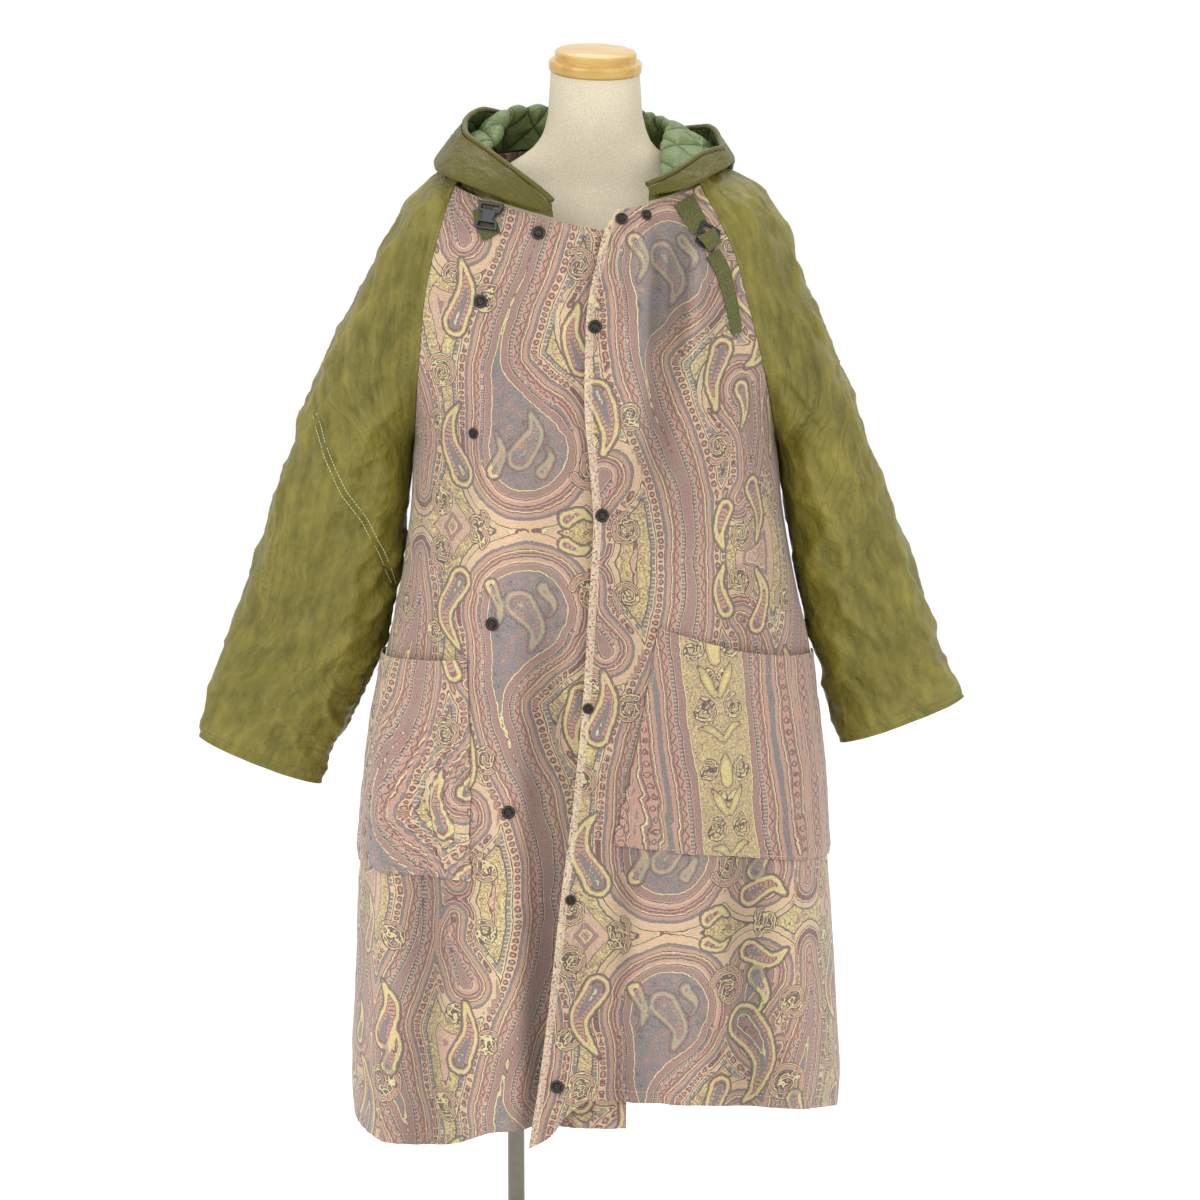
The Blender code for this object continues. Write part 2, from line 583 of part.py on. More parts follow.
def neckline(fronts, back, sleeves):
    """The coat's neck edge from the right front edge round the back to the left one."""
    parts = (fronts["right"][0, ::-1], sleeves["right"][0], back[0], sleeves["left"][0, ::-1], fronts["left"][0])
    line = np.concatenate(parts)
    steps = np.r_[True, np.linalg.norm(np.diff(line, axis=0), axis=1) > 0.01]
    return line[steps]


def on_line(line, point):
    """The nearest point of a polyline."""
    start, along = line[:-1], np.diff(line, axis=0)
    share = np.clip(((point - start) * along).sum(1) / (along ** 2).sum(1), 0, 1)
    near = start + share[:, None] * along
    return near[np.argmin(np.linalg.norm(near - point, axis=1))]


def hood_grid(neck, around, up):
    """Grid of the hood's middle surface, rows from the neck seam to the rim."""
    table = np.array(HOOD, float)
    where = np.linspace(0, 1, 400)
    ring = np.array([np.stack([
        curve_through(np.arange(len(table)), table[:, p, c])(where * (len(table) - 1)) for c in range(3)
    ], -1) for p in range(table.shape[1])])
    inwards = np.stack([-ring[0, :, 0], -ring[0, :, 1], 0 * where], -1)
    inwards /= np.linalg.norm(inwards, axis=1)[:, None]
    seat = COAT_WALL / MM / 2 * inwards + (0, 0, HOOD_SEAM_RISE)
    moved = np.array([on_line(neck, point) for point in ring[0]]) + seat - ring[0]
    ends = step(2, 0, np.minimum(where, 1 - where) * (len(table) - 1))
    ring += moved * np.where(np.arange(len(ring))[:, None] == 0, 1, ends)[..., None]
    middle = ring[[0, 5]].mean(axis=0)
    walked = np.r_[0, np.cumsum(np.linalg.norm(np.diff(middle, axis=0), axis=1))]
    pick = np.interp(np.linspace(0, walked[-1], around + 1), walked, np.arange(400))
    controls = np.stack([
        np.stack([np.interp(pick, np.arange(400), ring[p, :, c]) for c in range(3)], -1)
        for p in range(table.shape[1])
    ])
    grid = np.einsum("tp,psc->tsc", spline_weights(np.linspace(0, 1, up + 1), table.shape[1]), controls)
    for _ in range(HOOD_SMOOTHING):
        mean = (grid[2:, 1:-1] + grid[:-2, 1:-1] + grid[1:-1, 2:] + grid[1:-1, :-2]) / 4
        grid[1:-1, 1:-1] += 0.5 * (mean - grid[1:-1, 1:-1])
    steps = np.linalg.norm(np.diff(grid, axis=0), axis=2)
    return grid, np.concatenate([np.zeros((1, around + 1)), np.cumsum(steps, axis=0)])


def quilting(grid, lengths):
    """Height of the quilted diamonds, 0 on the stitched lines and edges, and the lining's thickness."""
    rows, count = grid.shape[:2]
    across = np.linalg.norm(np.diff(grid.mean(axis=0), axis=0), axis=1)
    u = np.r_[0, np.cumsum(across)][None, :]
    v = lengths
    a = np.abs(np.sin(np.pi * (u + v) / QUILT_PITCH))
    b = np.abs(np.sin(np.pi * (u - v) / QUILT_PITCH))
    share = np.linspace(0, 1, rows)[:, None]
    side = np.linspace(0, 1, count)[None, :]
    ends = step(0.04, 0.3, side) * step(0.04, 0.3, 1 - side)
    edge = step(0, 0.1, share) * step(0, 0.1, 1 - share)
    seam = 0.5 + 0.5 * step(0, 0.1, share)
    return QUILT_HEIGHT * np.minimum(a, b) ** 0.6 * edge * ends, HOOD_LINING_WALL * (0.4 + 0.6 * ends) * seam


def room(grid, normals, reach=40.0):
    """Free distance along the normals before a grid meets itself, the least of the neighbours'."""
    index = np.arange(grid.shape[0] * grid.shape[1]).reshape(grid.shape[:2])
    quads = np.stack([index[:-1, :-1], index[1:, :-1], index[1:, 1:], index[:-1, 1:]], -1).reshape(-1, 4)
    tree = BVHTree.FromPolygons(grid.reshape(-1, 3).tolist(), quads.tolist())
    free = np.full(len(normals), reach)
    for i, (point, normal) in enumerate(zip(grid.reshape(-1, 3), normals)):
        for lean in (0.0, -0.5, 0.5):
            for across in (np.array((0, 0, 1.0)), np.array((0, 1.0, 0))):
                side = np.cross(normal, across)
                ray = normal + lean * side
                ray /= np.linalg.norm(ray)
                hit = tree.ray_cast((point + 0.6 * ray).tolist(), ray.tolist(), reach)[3]
                if hit is not None:
                    free[i] = min(free[i], hit + 0.6)
    free = free.reshape(grid.shape[:2])
    padded = np.pad(free, 1, mode="edge")
    shape = grid.shape[:2]
    return np.min([padded[a:a + shape[0], b:b + shape[1]] for a in range(3) for b in range(3)], axis=0)


def hollow_radius(grid, normals):
    """Radius of the bend towards the normal at every point of a grid, widened over its neighbours."""
    normals = normals.reshape(grid.shape)
    radius = np.full(grid.shape[:2], 1e3)
    for axis in (0, 1):
        g = np.moveaxis(grid, axis, 0)
        n = np.moveaxis(normals, axis, 0)
        bend = ((g[2:] + g[:-2] - 2 * g[1:-1]) * n[1:-1]).sum(-1)
        reach = (np.linalg.norm(g[2:] - g[:-2], axis=-1) / 2) ** 2
        view = np.moveaxis(radius, axis, 0)
        view[1:-1] = np.minimum(view[1:-1], np.where(bend > 1e-6, reach / np.maximum(bend, 1e-6), 1e3))
    wide = radius.copy()
    wide[1:] = np.minimum(wide[1:], radius[:-1] + 3)
    wide[:-1] = np.minimum(wide[:-1], radius[1:] + 3)
    return wide


def triangles(quads):
    return np.concatenate([quads[:, [0, 1, 2]], quads[:, [0, 2, 3]]])


def pressed(base, normals, height, quads):
    """The heights of a padded face above its base, pressed flat where it would cross itself."""
    faces = triangles(quads)
    below = BVHTree.FromPolygons(base.tolist(), faces.tolist())
    height = height.copy()
    for _ in range(PRESSINGS):
        face = base + normals * height[:, None]
        above = BVHTree.FromPolygons(face.tolist(), faces.tolist())
        pairs = above.overlap(above) + above.overlap(below)
        tight = {v for a, b in pairs if not set(faces[a]) & set(faces[b]) for v in (*faces[a], *faces[b])}
        if not tight:
            break
        tight = np.array(sorted(tight))
        height[tight] = np.maximum(0.7 * height[tight], THINNEST)
    return height


def hood(neck, shell_material, lining_material, rim_material):
    grid, lengths = hood_grid(neck, HOOD_AROUND, HOOD_UP)
    sheet = Sheet("hood_lining", grid, 0.0, flip=True)
    puff, thickness = quilting(grid, lengths)
    height = np.minimum(puff + thickness, 0.36 * room(grid, sheet.normals) - HOOD_SIDES)
    height = np.minimum(height, 0.5 * hollow_radius(grid, sheet.normals) + 0.3)
    height = np.maximum(height, THINNEST).reshape(-1)
    shell = np.minimum(HOOD_SHELL_WALL, 0.4 * room(grid, -sheet.normals) - HOOD_SIDES)
    shell[0] = np.minimum(shell[0], HOOD_SHELL_WALL / 2)
    shell = np.maximum(np.minimum(shell, 0.5 * hollow_radius(grid, -sheet.normals)), THINNEST).reshape(-1)
    base = sheet.points + HOOD_SIDES * sheet.normals
    height = pressed(base, sheet.normals, height, sheet.quads)
    wall("hood_lining", base + sheet.normals * height[:, None], base, sheet.quads, lining_material)
    base = sheet.points - HOOD_SIDES * sheet.normals
    wall("hood_shell", base - shell[:, None] * sheet.normals, base, sheet.quads[:, [0, 3, 2, 1]], shell_material)
    rim = grid[-1]
    outward = grid[-1] - grid[-2]
    outward /= np.linalg.norm(outward, axis=1)[:, None]
    normals = sheet.normals.reshape(grid.shape)[-1]
    middle = rim + outward * (RIM_RADIUS + 1.2) + normals * 0.6
    tube("hood_rim", middle, RIM_RADIUS, 6, rim_material)


def tube(name, line, radius, sides, material, squash=1.0, start=None):
    """A closed bead along a line of points."""
    line = np.asarray(line, float)
    tangent = np.gradient(line, axis=0)
    tangent /= np.linalg.norm(tangent, axis=1)[:, None]
    first = np.cross(tangent[0], (0, 0, 1)) if start is None else np.asarray(start, float)
    frame = first - tangent[0] * (first @ tangent[0])
    rings = []
    for point, along in zip(line, tangent):
        frame = frame - along * (frame @ along)
        frame /= np.linalg.norm(frame)
        other = np.cross(along, frame)
        angle = np.arange(sides) * 2 * np.pi / sides
        rings.append(point + radius * (np.cos(angle)[:, None] * frame + squash * np.sin(angle)[:, None] * other))
    return lathe_rings(name, rings, material)


def lathe_rings(name, rings, material, smooth=True):
    """A closed solid through rings of equal point counts, its ends filled with fans."""
    sides = len(rings[0])
    points = [p for ring in rings for p in ring]
    faces = []
    for r in range(len(rings) - 1):
        for k in range(sides):
            a, b = r * sides + k, r * sides + (k + 1) % sides
            faces.append((a, b, b + sides, a + sides))
    last = (len(rings) - 1) * sides
    points += [np.mean(rings[0], axis=0), np.mean(rings[-1], axis=0)]
    for k in range(sides):
        faces.append((len(points) - 2, (k + 1) % sides, k))
        faces.append((len(points) - 1, last + k, last + (k + 1) % sides))
    return new_object(name, np.array(points) * MM, faces, material, smooth)


# ------------------------------------------------------------------ the dress form and its stand
# height, middle x, middle y, half width, half depth
TORSO = (
    (800, -2, 6, 120, 92), (812, -2, 6, 150, 112), (850, -2, 6, 166, 122), (930, -2, 6, 170, 124),
    (1010, -2, 4, 150, 108), (1080, -2, 2, 132, 92), (1130, -2, 0, 130, 88), (1190, -2, -4, 140, 94),
    (1250, -2, -8, 152, 104), (1310, -2, -4, 158, 98), (1350, -2, 4, 160, 88), (1385, -2, 8, 156, 76),
    (1408, -2, 10, 146, 68), (1425, -2, 10, 133, 62), (1439, -2, 8, 118, 59), (1451, -3, 6, 102, 57),
    (1462, -3, 4, 84, 56), (1473, -3, 2, 70, 55), (1490, -2, 0, 60, 54.5), (1510, -2, -2, 55, 54),
)
TORSO_SIDES = 28
CAP_TILT = 12.0
CAP_ROLL = 2.0
CAP_MIDDLE = (-2.0, -8.0, 1558.0)
# height above the cap's seat, radius
CAP_PROFILE = ((0, 52.5), (1.2, 54), (10, 54.5), (12.5, 53), (13.6, 48.6), (15.2, 47.8), (22, 47.6), (24, 45.5))
POLE = {"x": -100.0, "y": 0.0, "radius": 10.4, "bottom": 13.0, "top": 799.7}
BASE = {"radius": 190.0, "thickness": 12.0, "edge": 3.0}


def ellipse_ring(cx, cy, z, half, depth, sides, squareness=2.0):
    angle = np.arange(sides) * 2 * np.pi / sides
    x = cx + half * np.sign(np.cos(angle)) * np.abs(np.cos(angle)) ** (2 / squareness)
    y = cy + depth * np.sign(np.sin(angle)) * np.abs(np.sin(angle)) ** (2 / squareness)
    return np.stack([x, y, np.full(sides, float(z))], -1)


def tilt(points, middle):
    """Leans points over to the front and a little to the wearer's right."""
    a, b = np.radians(CAP_TILT), np.radians(CAP_ROLL)
    p = points - middle
    p = np.stack([p[:, 0], p[:, 1] * np.cos(a) - p[:, 2] * np.sin(a), p[:, 1] * np.sin(a) + p[:, 2] * np.cos(a)], -1)
    p = np.stack([p[:, 0] * np.cos(b) + p[:, 2] * np.sin(b), p[:, 1], p[:, 2] * np.cos(b) - p[:, 0] * np.sin(b)], -1)
    return p + middle


def dress_form(linen, wood, steel):
    rings = [ellipse_ring(cx, cy, z, w, d, TORSO_SIDES, 2.2) for z, cx, cy, w, d in TORSO]
    middle = np.array(CAP_MIDDLE)
    seat = ellipse_ring(middle[0], middle[1] + 3, middle[2] - 0.4, 52.0, 52.0, TORSO_SIDES)
    rings.append(tilt(seat, middle))
    lathe_rings("form_torso", rings, linen)
    rings = [tilt(ellipse_ring(middle[0], middle[1] + 3, middle[2] + z, r, r, TORSO_SIDES), middle) for z, r in CAP_PROFILE]
    lathe_rings("form_cap", rings, wood)
    pole = [ellipse_ring(POLE["x"], POLE["y"], z, POLE["radius"], POLE["radius"], 20) for z in (POLE["bottom"], POLE["top"])]
    lathe_rings("stand_pole", pole, steel)
    edge = ((0, 2), (1.5, 0), (BASE["thickness"] - BASE["edge"], 0), (BASE["thickness"], BASE["edge"]))
    rings = [ellipse_ring(0, 0, z, BASE["radius"] - r, BASE["radius"] - r, 48) for z, r in edge]
    lathe_rings("stand_base", rings, steel)


# ------------------------------------------------------------------ what lies on the fronts
SNAP_COLUMNS = ("side", "x", "z", "size")
SNAPS = (
    ("right", -66, 1376, 1.0), ("right", -132, 1299, 1.0), ("right", -141, 1148, 0.8),
    ("right", -120, 932, 1.0), ("right", -102, 715, 1.0),
    ("left", 28, 1392, 0.9), ("left", 56, 1396, 0.8), ("left", -2, 1272, 1.0), ("left", 6, 1059, 1.0),
    ("left", -10, 838, 0.8), ("left", -30, 616, 0.8), ("left", -46, 397, 1.0),
)
# radius and height of a ring snap's turned profile, from its back to the dimple in the middle
SNAP_PROFILE = ((7.6, 0.0), (7.8, 1.4), (6.4, 2.6), (3.4, 2.2), (2.6, 1.0))
SNAP_SIDES = 12
SNAP_LIFT = 1.0
# distance from the middle and height of a pocket's corners
POCKET_RIGHT = {"mouth": ((352, 876), (152, 888)), "foot": ((352, 624), (138, 631)), "sag": -3.0}
POCKET_LEFT = {"mouth": ((322, 880), (70, 930)), "foot": ((352, 626), (28, 680)), "sag": -14.0}
POCKET_ROWS = 9
POCKET_COLUMNS = 14
POCKET_LIFT = 3.6
POCKET_MOUTH = 4.0            # how far the mouth stands open
# straps: x, z, width and distance from the cloth at each point along the middle line
TAB_RIGHT = ((-130, 1402, 22, 0.9), (-128, 1392, 22, 0.9), (-124, 1381, 22, 0.9), (-119, 1371, 21, 0.9))
TAB_LEFT = ((98, 1412, 25, 0.9), (104, 1402, 24, 0.9), (112, 1388, 22, 0.9), (118, 1378, 20, 0.9))
LOOP_LEFT = ((121, 1374, 19, 6.6), (126, 1366, 19, 7.0), (131, 1358, 19, 6.4))
TAIL_LEFT = ((131, 1352, 18, 0.9), (142, 1334, 17, 0.9), (150, 1308, 15, 0.9), (156, 1280, 13, 0.9), (159, 1262, 11, 0.9))


def contour(grid, u, z):
    """The line at height z across a front: points and distances from the middle, side to edge."""
    points = np.empty((grid.shape[1], 3))
    distance = np.empty(grid.shape[1])
    for j in range(grid.shape[1]):
        height = grid[::-1, j, 2]
        for c in range(3):
            points[j, c] = np.interp(z, height, grid[::-1, j, c])
        distance[j] = np.interp(z, height, u[::-1, j])
    return points, distance


def on_front(grid, u, at, z, by_x=False):
    """The point of a front's face at height z, found by x or by its distance from the middle."""
    points, distance = contour(grid, u, z)
    key = np.abs(points[-1, 0] - points[:, 0]) * -1 if by_x else -distance
    want = -abs(points[-1, 0] - at) if by_x else -at
    return np.array([np.interp(want, key, points[:, 0]), np.interp(want, key, points[:, 1]), z])


def pocket(side, grid, u, corners, material):
    rows, count = POCKET_ROWS, POCKET_COLUMNS
    t, s = np.linspace(0, 1, rows + 1), np.linspace(0, 1, count + 1)
    (m0, m1), (f0, f1) = np.array(corners["mouth"], float), np.array(corners["foot"], float)
    patch = np.empty((rows + 1, count + 1, 3))
    for i, down in enumerate(t):
        for j, across in enumerate(s):
            mouth = m0 + (m1 - m0) * across + (0, corners["sag"] * 4 * across * (1 - across))
            foot = f0 + (f1 - f0) * across
            at, z = mouth + (foot - mouth) * down
            patch[i, j] = on_front(grid, u, at, z)
    flip = side == "left"
    edge = np.sin(np.pi * s)[None, :] * step(1, 0.5, t)[:, None]
    lift = POCKET_LIFT + POCKET_MOUTH * edge
    patch = patch + grid_normals(patch, flip) * lift[..., None]
    sheet = Sheet("pocket_" + side, patch, COAT_WALL / MM, flip)
    thick = sheet.thickness[:, None]
    return wall(sheet.name, sheet.points + sheet.normals * thick, sheet.points, sheet.quads, material)


def frame_on_front(grid, u, x, z):
    """A point of a front with its outward normal and the directions across and up the cloth."""
    middle = on_front(grid, u, x, z, True)
    across = on_front(grid, u, x + 6, z, True) - on_front(grid, u, x - 6, z, True)
    up = on_front(grid, u, x, z + 6, True) - on_front(grid, u, x, z - 6, True)
    normal = np.cross(across, up)
    normal /= np.linalg.norm(normal)
    across /= np.linalg.norm(across)
    return middle, normal, across, np.cross(normal, across)


def snap(name, grid, u, x, z, size, material):
    middle, normal, across, up = frame_on_front(grid, u, x, z)
    angle = np.arange(SNAP_SIDES) * 2 * np.pi / SNAP_SIDES
    circle = np.cos(angle)[:, None] * across + np.sin(angle)[:, None] * up
    rings = [middle + size * r * circle + normal * (SNAP_LIFT + h) for r, h in SNAP_PROFILE]
    return lathe_rings(name, rings, material)


def strap(name, grid, u, path, thickness, material, parts=2):
    """A webbing strap lying on a front along a path of x, z, width and distance from the cloth."""
    path = np.asarray(path, float)
    where = np.linspace(0, len(path) - 1, (len(path) - 1) * parts + 1)
    x, z, width, lift = (curve_through(np.arange(len(path)), path[:, i])(where) for i in range(4))
    along = np.stack([np.gradient(x), np.gradient(z)], -1)
    along /= np.linalg.norm(along, axis=1)[:, None]
    rows = []
    for i in range(len(where)):
        row = []
        for side in (-0.5, 0.0, 0.5):
            px = x[i] - side * width[i] * along[i, 1]
            pz = z[i] + side * width[i] * along[i, 0]
            middle, normal, _, _ = frame_on_front(grid, u, px, pz)
            row.append(middle + normal * lift[i])
        rows.append(row)
    sheet = Sheet(name, np.array(rows), thickness, False)
    outer = sheet.points + sheet.normals * thickness
    return wall(name, outer, sheet.points, sheet.quads, material)


def plate(name, cells, xs, zs, place, low, high, material):
    """A flat plate with windows: cells marks what is solid, place maps (x, z, height) to space."""
    index, points, faces = {}, [], []

    def point(i, j, level):
        if (i, j, level) not in index:
            index[(i, j, level)] = len(points)
            points.append(place(xs[i][j], zs[i][j], high if level else low))
        return index[(i, j, level)]

    rows, count = len(cells), len(cells[0])

    def solid(i, j):
        return 0 <= i < rows and 0 <= j < count and cells[i][j] == "#"

    for i in range(rows):
        for j in range(count):
            if not solid(i, j):
                continue
            ring = ((i, j), (i + 1, j), (i + 1, j + 1), (i, j + 1))
            faces.append([point(a, b, 1) for a, b in ring])
            faces.append([point(a, b, 0) for a, b in reversed(ring)])
            for k, (di, dj) in enumerate(((0, -1), (1, 0), (0, 1), (-1, 0))):
                if not solid(i + di, j + dj):
                    (a, b), (c, d) = ring[k], ring[(k + 1) % 4]
                    faces.append([point(a, b, 0), point(c, d, 0), point(c, d, 1), point(a, b, 1)])
    return new_object(name, np.array(points) * MM, faces, material, False)


BUCKLE_RIGHT = {"at": (-121, 1394), "lean": 8.0, "low": 3.6, "high": 8.4}
BUCKLE_RIGHT_CELLS = ("#####", "#...#", "#####", ".###.", "#####", "#...#", "#####")
BUCKLE_RIGHT_ROWS = ((15, 15), (11.5, 15), (7, 14.5), (3, 12), (-5, 10), (-9, 13.5), (-14, 14.5), (-17, 13))
LOCK_LEFT = {"at": (124, 1370), "lean": 32.0, "low": 3.2, "high": 5.2}
LOCK_LEFT_CELLS = ("#####", "#...#", "#####", "#...#", "#####")
LOCK_LEFT_ROWS = ((16, 12.5), (12, 13.5), (4, 13.5), (0, 13.5), (-11, 13.5), (-15, 12.5))


def buckle(name, grid, u, spec, cells, rows, material):
    middle, normal, across, up = frame_on_front(grid, u, *spec["at"])
    lean = np.radians(spec["lean"])
    right = across * np.cos(lean) - up * np.sin(lean)
    top = across * np.sin(lean) + up * np.cos(lean)
    share = np.array((-1, -0.7, -0.3, 0.3, 0.7, 1))
    xs = [half * share for _, half in rows]
    zs = [np.full(6, float(z)) for z, _ in rows]

    def place(x, z, height):
        return middle + right * x + top * z + normal * height

    return plate(name, cells, xs, zs, place, spec["low"], spec["high"], material)


def build():
    clear_scene()
    shawl = finish("shawl_cloth", (0.52, 0.38, 0.32), 0.9)
    nylon = finish("olive_nylon", (0.17, 0.18, 0.05), 0.55)
    quilt = finish("green_quilting", (0.13, 0.2, 0.09), 0.5)
    linen = finish("form_linen", (0.75, 0.7, 0.6), 0.9)
    wood = finish("cap_wood", (0.72, 0.48, 0.2), 0.45)
    steel = finish("stand_steel", (0.5, 0.48, 0.45), 0.35, 1.0)
    metal = finish("snap_metal", (0.03, 0.03, 0.03), 0.35, 1.0)
    plastic = finish("buckle_plastic", (0.02, 0.02, 0.02), 0.45)
    webbing = finish("olive_webbing", (0.16, 0.16, 0.05), 0.75)
    right, right_grid, right_u = front_sheet("right")
    left, left_grid, left_u = front_sheet("left")
    back, back_grid_points = back_sheet()
    (sleeve_right, right_sleeve_grid), (sleeve_left, left_sleeve_grid) = sleeve_sheet("right"), sleeve_sheet("left")
    join_seams([right, left, back], [sleeve_right, sleeve_left])
    for sheet in (right, left, back):
        sheet_wall(sheet, shawl)
    for sheet in (sleeve_right, sleeve_left):
        sheet_wall(sheet, nylon)
    fronts = {"right": (right_grid, right_u), "left": (left_grid, left_u)}
    pocket("right", *fronts["right"], POCKET_RIGHT, shawl)
    pocket("left", *fronts["left"], POCKET_LEFT, shawl)
    for number, (side, x, z, size) in enumerate(SNAPS, 1):
        snap("snap_%s_%d" % (side, number), *fronts[side], x, z, size, metal)
    strap("tab_right", *fronts["right"], TAB_RIGHT, 1.8, webbing)
    strap("tab_left", *fronts["left"], TAB_LEFT, 1.8, webbing)
    strap("loop_left", *fronts["left"], LOOP_LEFT, 1.6, webbing)
    strap("tail_left", *fronts["left"], TAIL_LEFT, 1.8, webbing)
    buckle("buckle_right", *fronts["right"], BUCKLE_RIGHT, BUCKLE_RIGHT_CELLS, BUCKLE_RIGHT_ROWS, plastic)
    buckle("lock_left", *fronts["left"], LOCK_LEFT, LOCK_LEFT_CELLS, LOCK_LEFT_ROWS, plastic)
    neck = neckline({"right": right_grid, "left": left_grid}, back_grid_points,
                    {"right": right_sleeve_grid, "left": left_sleeve_grid})
    hood(neck, nylon, quilt, nylon)
    dress_form(linen, wood, steel)


build()
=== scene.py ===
"""The looks of the hooded coat: cloth, folds, seams, quilting, hardware, dress form, light and camera.

The cloth pieces repeat the solids' tables and sections at a finer pitch, with smaller folds added, so
each one lies on the solid that it stands for. The paisley is worked out here from short tables of
curved spines: every cloth point gets its distance from the nearest spine's outline, and the cloth's
material turns those distances into woven bands.
"""

import json

import bpy
import numpy as np
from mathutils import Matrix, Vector, noise
from mathutils.bvhtree import BVHTree

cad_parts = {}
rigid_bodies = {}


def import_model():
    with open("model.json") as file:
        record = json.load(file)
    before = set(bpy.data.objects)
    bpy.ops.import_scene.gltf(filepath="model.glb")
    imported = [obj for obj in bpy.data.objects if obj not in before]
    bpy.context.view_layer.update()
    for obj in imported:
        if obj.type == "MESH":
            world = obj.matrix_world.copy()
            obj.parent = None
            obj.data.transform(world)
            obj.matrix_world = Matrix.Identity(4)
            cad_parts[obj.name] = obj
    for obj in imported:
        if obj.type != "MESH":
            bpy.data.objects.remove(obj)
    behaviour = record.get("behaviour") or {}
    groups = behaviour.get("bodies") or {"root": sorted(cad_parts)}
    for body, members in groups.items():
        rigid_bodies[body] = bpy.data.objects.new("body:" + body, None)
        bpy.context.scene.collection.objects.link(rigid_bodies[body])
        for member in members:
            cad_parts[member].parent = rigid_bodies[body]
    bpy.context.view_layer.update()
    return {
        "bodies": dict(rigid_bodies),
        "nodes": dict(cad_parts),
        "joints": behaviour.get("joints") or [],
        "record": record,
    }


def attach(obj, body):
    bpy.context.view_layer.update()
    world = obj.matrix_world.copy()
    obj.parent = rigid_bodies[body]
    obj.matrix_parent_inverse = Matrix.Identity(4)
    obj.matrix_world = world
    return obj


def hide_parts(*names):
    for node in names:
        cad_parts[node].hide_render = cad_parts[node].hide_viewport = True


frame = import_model()

MM = 0.001
SEAM_GAP = 0.25               # each edge stands back this far from the sewing line
UNDERARM_DEPTH = 1.7          # the corner where three pieces meet is this much thicker than their walls
COAT_WALL = 3.0
SQUARENESS = 2.25             # exponent of the body's rounded sections

# ------------------------------------------------------------------ the sleeves' sections
# station: seam (sx, sz) is the raglan seam or, below the underarm, the inner edge of the tube;
# (ox, oz) is the outer edge; depth is half the section's depth front to back; cut is the angle
# in degrees at which the raglan seam slices the section (0 from the underarm down);
# (bx, bz) move the back seam towards the neck.
SLEEVE_COLUMNS = ("sx", "sz", "ox", "oz", "depth", "cut", "bx", "bz")
UNDERARM = 7                  # station of the underarm in both tables
SLEEVE_BACKSET = 14.0         # the tubes hang this far behind the body's widest line
SLEEVE_RIGHT = (
    (163, 1428, 150, 1465, 85, 90, -36, 34),
    (176, 1390, 206, 1427, 100, 90, -22, 16),
    (188, 1345, 238, 1387, 110, 90, -12, 8),
    (197, 1300, 262, 1345, 115, 88, -5, 4),
    (203, 1242, 292, 1286, 112, 78, 0, 0),
    (208, 1195, 316, 1238, 104, 58, 0, 0),
    (213, 1150, 334, 1196, 94, 30, 0, 0),
    (218, 1115, 349, 1161, 84, 0, 0, 0),
    (223, 1055, 369, 1103, 79, 0, 0, 0),
    (230, 1000, 389, 1049, 76, 0, 0, 0),
    (240, 940, 408, 993, 73, 0, 0, 0),
    (254, 885, 427, 945, 70, 0, 0, 0),
    (274, 836, 442, 897, 65, 0, 0, 0),
    (293, 798, 456, 857, 57, 0, 0, 0),
    (313, 763, 470, 820, 48, 0, 0, 0),
    (327, 730, 480, 787, 41, 0, 0, 0),
    (335, 707, 483, 766, 37, 0, 0, 0),
)
SLEEVE_LEFT = (
    (118, 1429, 114, 1456, 85, 90, -8, 28),
    (143, 1384, 184, 1430, 98, 90, -8, 18),
    (160, 1345, 217, 1387, 108, 90, -4, 12),
    (172, 1300, 238, 1334, 113, 88, 0, 4),
    (187, 1242, 264, 1270, 112, 78, 0, 0),
    (198, 1195, 284, 1222, 104, 58, 0, 0),
    (207, 1150, 303, 1176, 94, 30, 0, 0),
    (214, 1115, 320, 1133, 84, 0, 0, 0),
    (222, 1055, 344, 1074, 81, 0, 0, 0),
    (231, 1000, 366, 1019, 79, 0, 0, 0),
    (243, 940, 387, 959, 77, 0, 0, 0),
    (257, 885, 405, 906, 74, 0, 0, 0),
    (272, 838, 419, 868, 68, 0, 0, 0),
    (281, 803, 430, 842, 60, 0, 0, 0),
    (289, 778, 438, 826, 50, 0, 0, 0),
    (295, 758, 444, 815, 41, 0, 0, 0),
)

# ------------------------------------------------------------------ the body's sections
# height: half width to the wearer's right and left, depth in front and behind.
BODY_COLUMNS = ("z", "right", "left", "front", "back")
BODY = (
    (1470, 170, 130, 122, 84),
    (1400, 190, 150, 131, 112),
    (1346, 200, 165, 143, 126),
    (1280, 204, 180, 153, 136),
    (1190, 210, 198, 159, 141),
    (1115, 218, 214, 161, 138),
    (1055, 221, 220, 165, 136),
    (1000, 228, 229, 168, 138),
    (940, 238, 241, 171, 142),
    (885, 251, 254, 175, 148),
    (836, 260, 260, 178, 153),
    (760, 273, 269, 182, 160),
    (650, 286, 277, 187, 167),
    (540, 293, 286, 191, 172),
    (425, 297, 293, 195, 177),
    (348, 300, 298, 198, 180),
    (300, 296, 295, 199, 181),
)
# height of each cap row at the front edge and the centre back, from the neckline to the underarm
CAP_FRONT_RIGHT = (1377, 1345, 1308, 1270, 1226, 1188, 1150, 1115)
CAP_FRONT_LEFT = (1403, 1366, 1322, 1280, 1232, 1191, 1150, 1115)
CAP_BACK = (1468, 1428, 1384, 1336, 1280, 1224, 1168, 1115)
NECK_DROP = 1.4               # how late the neckline climbs from the front edge to the raglan seam
BACK_NECK_DROP = 2.2
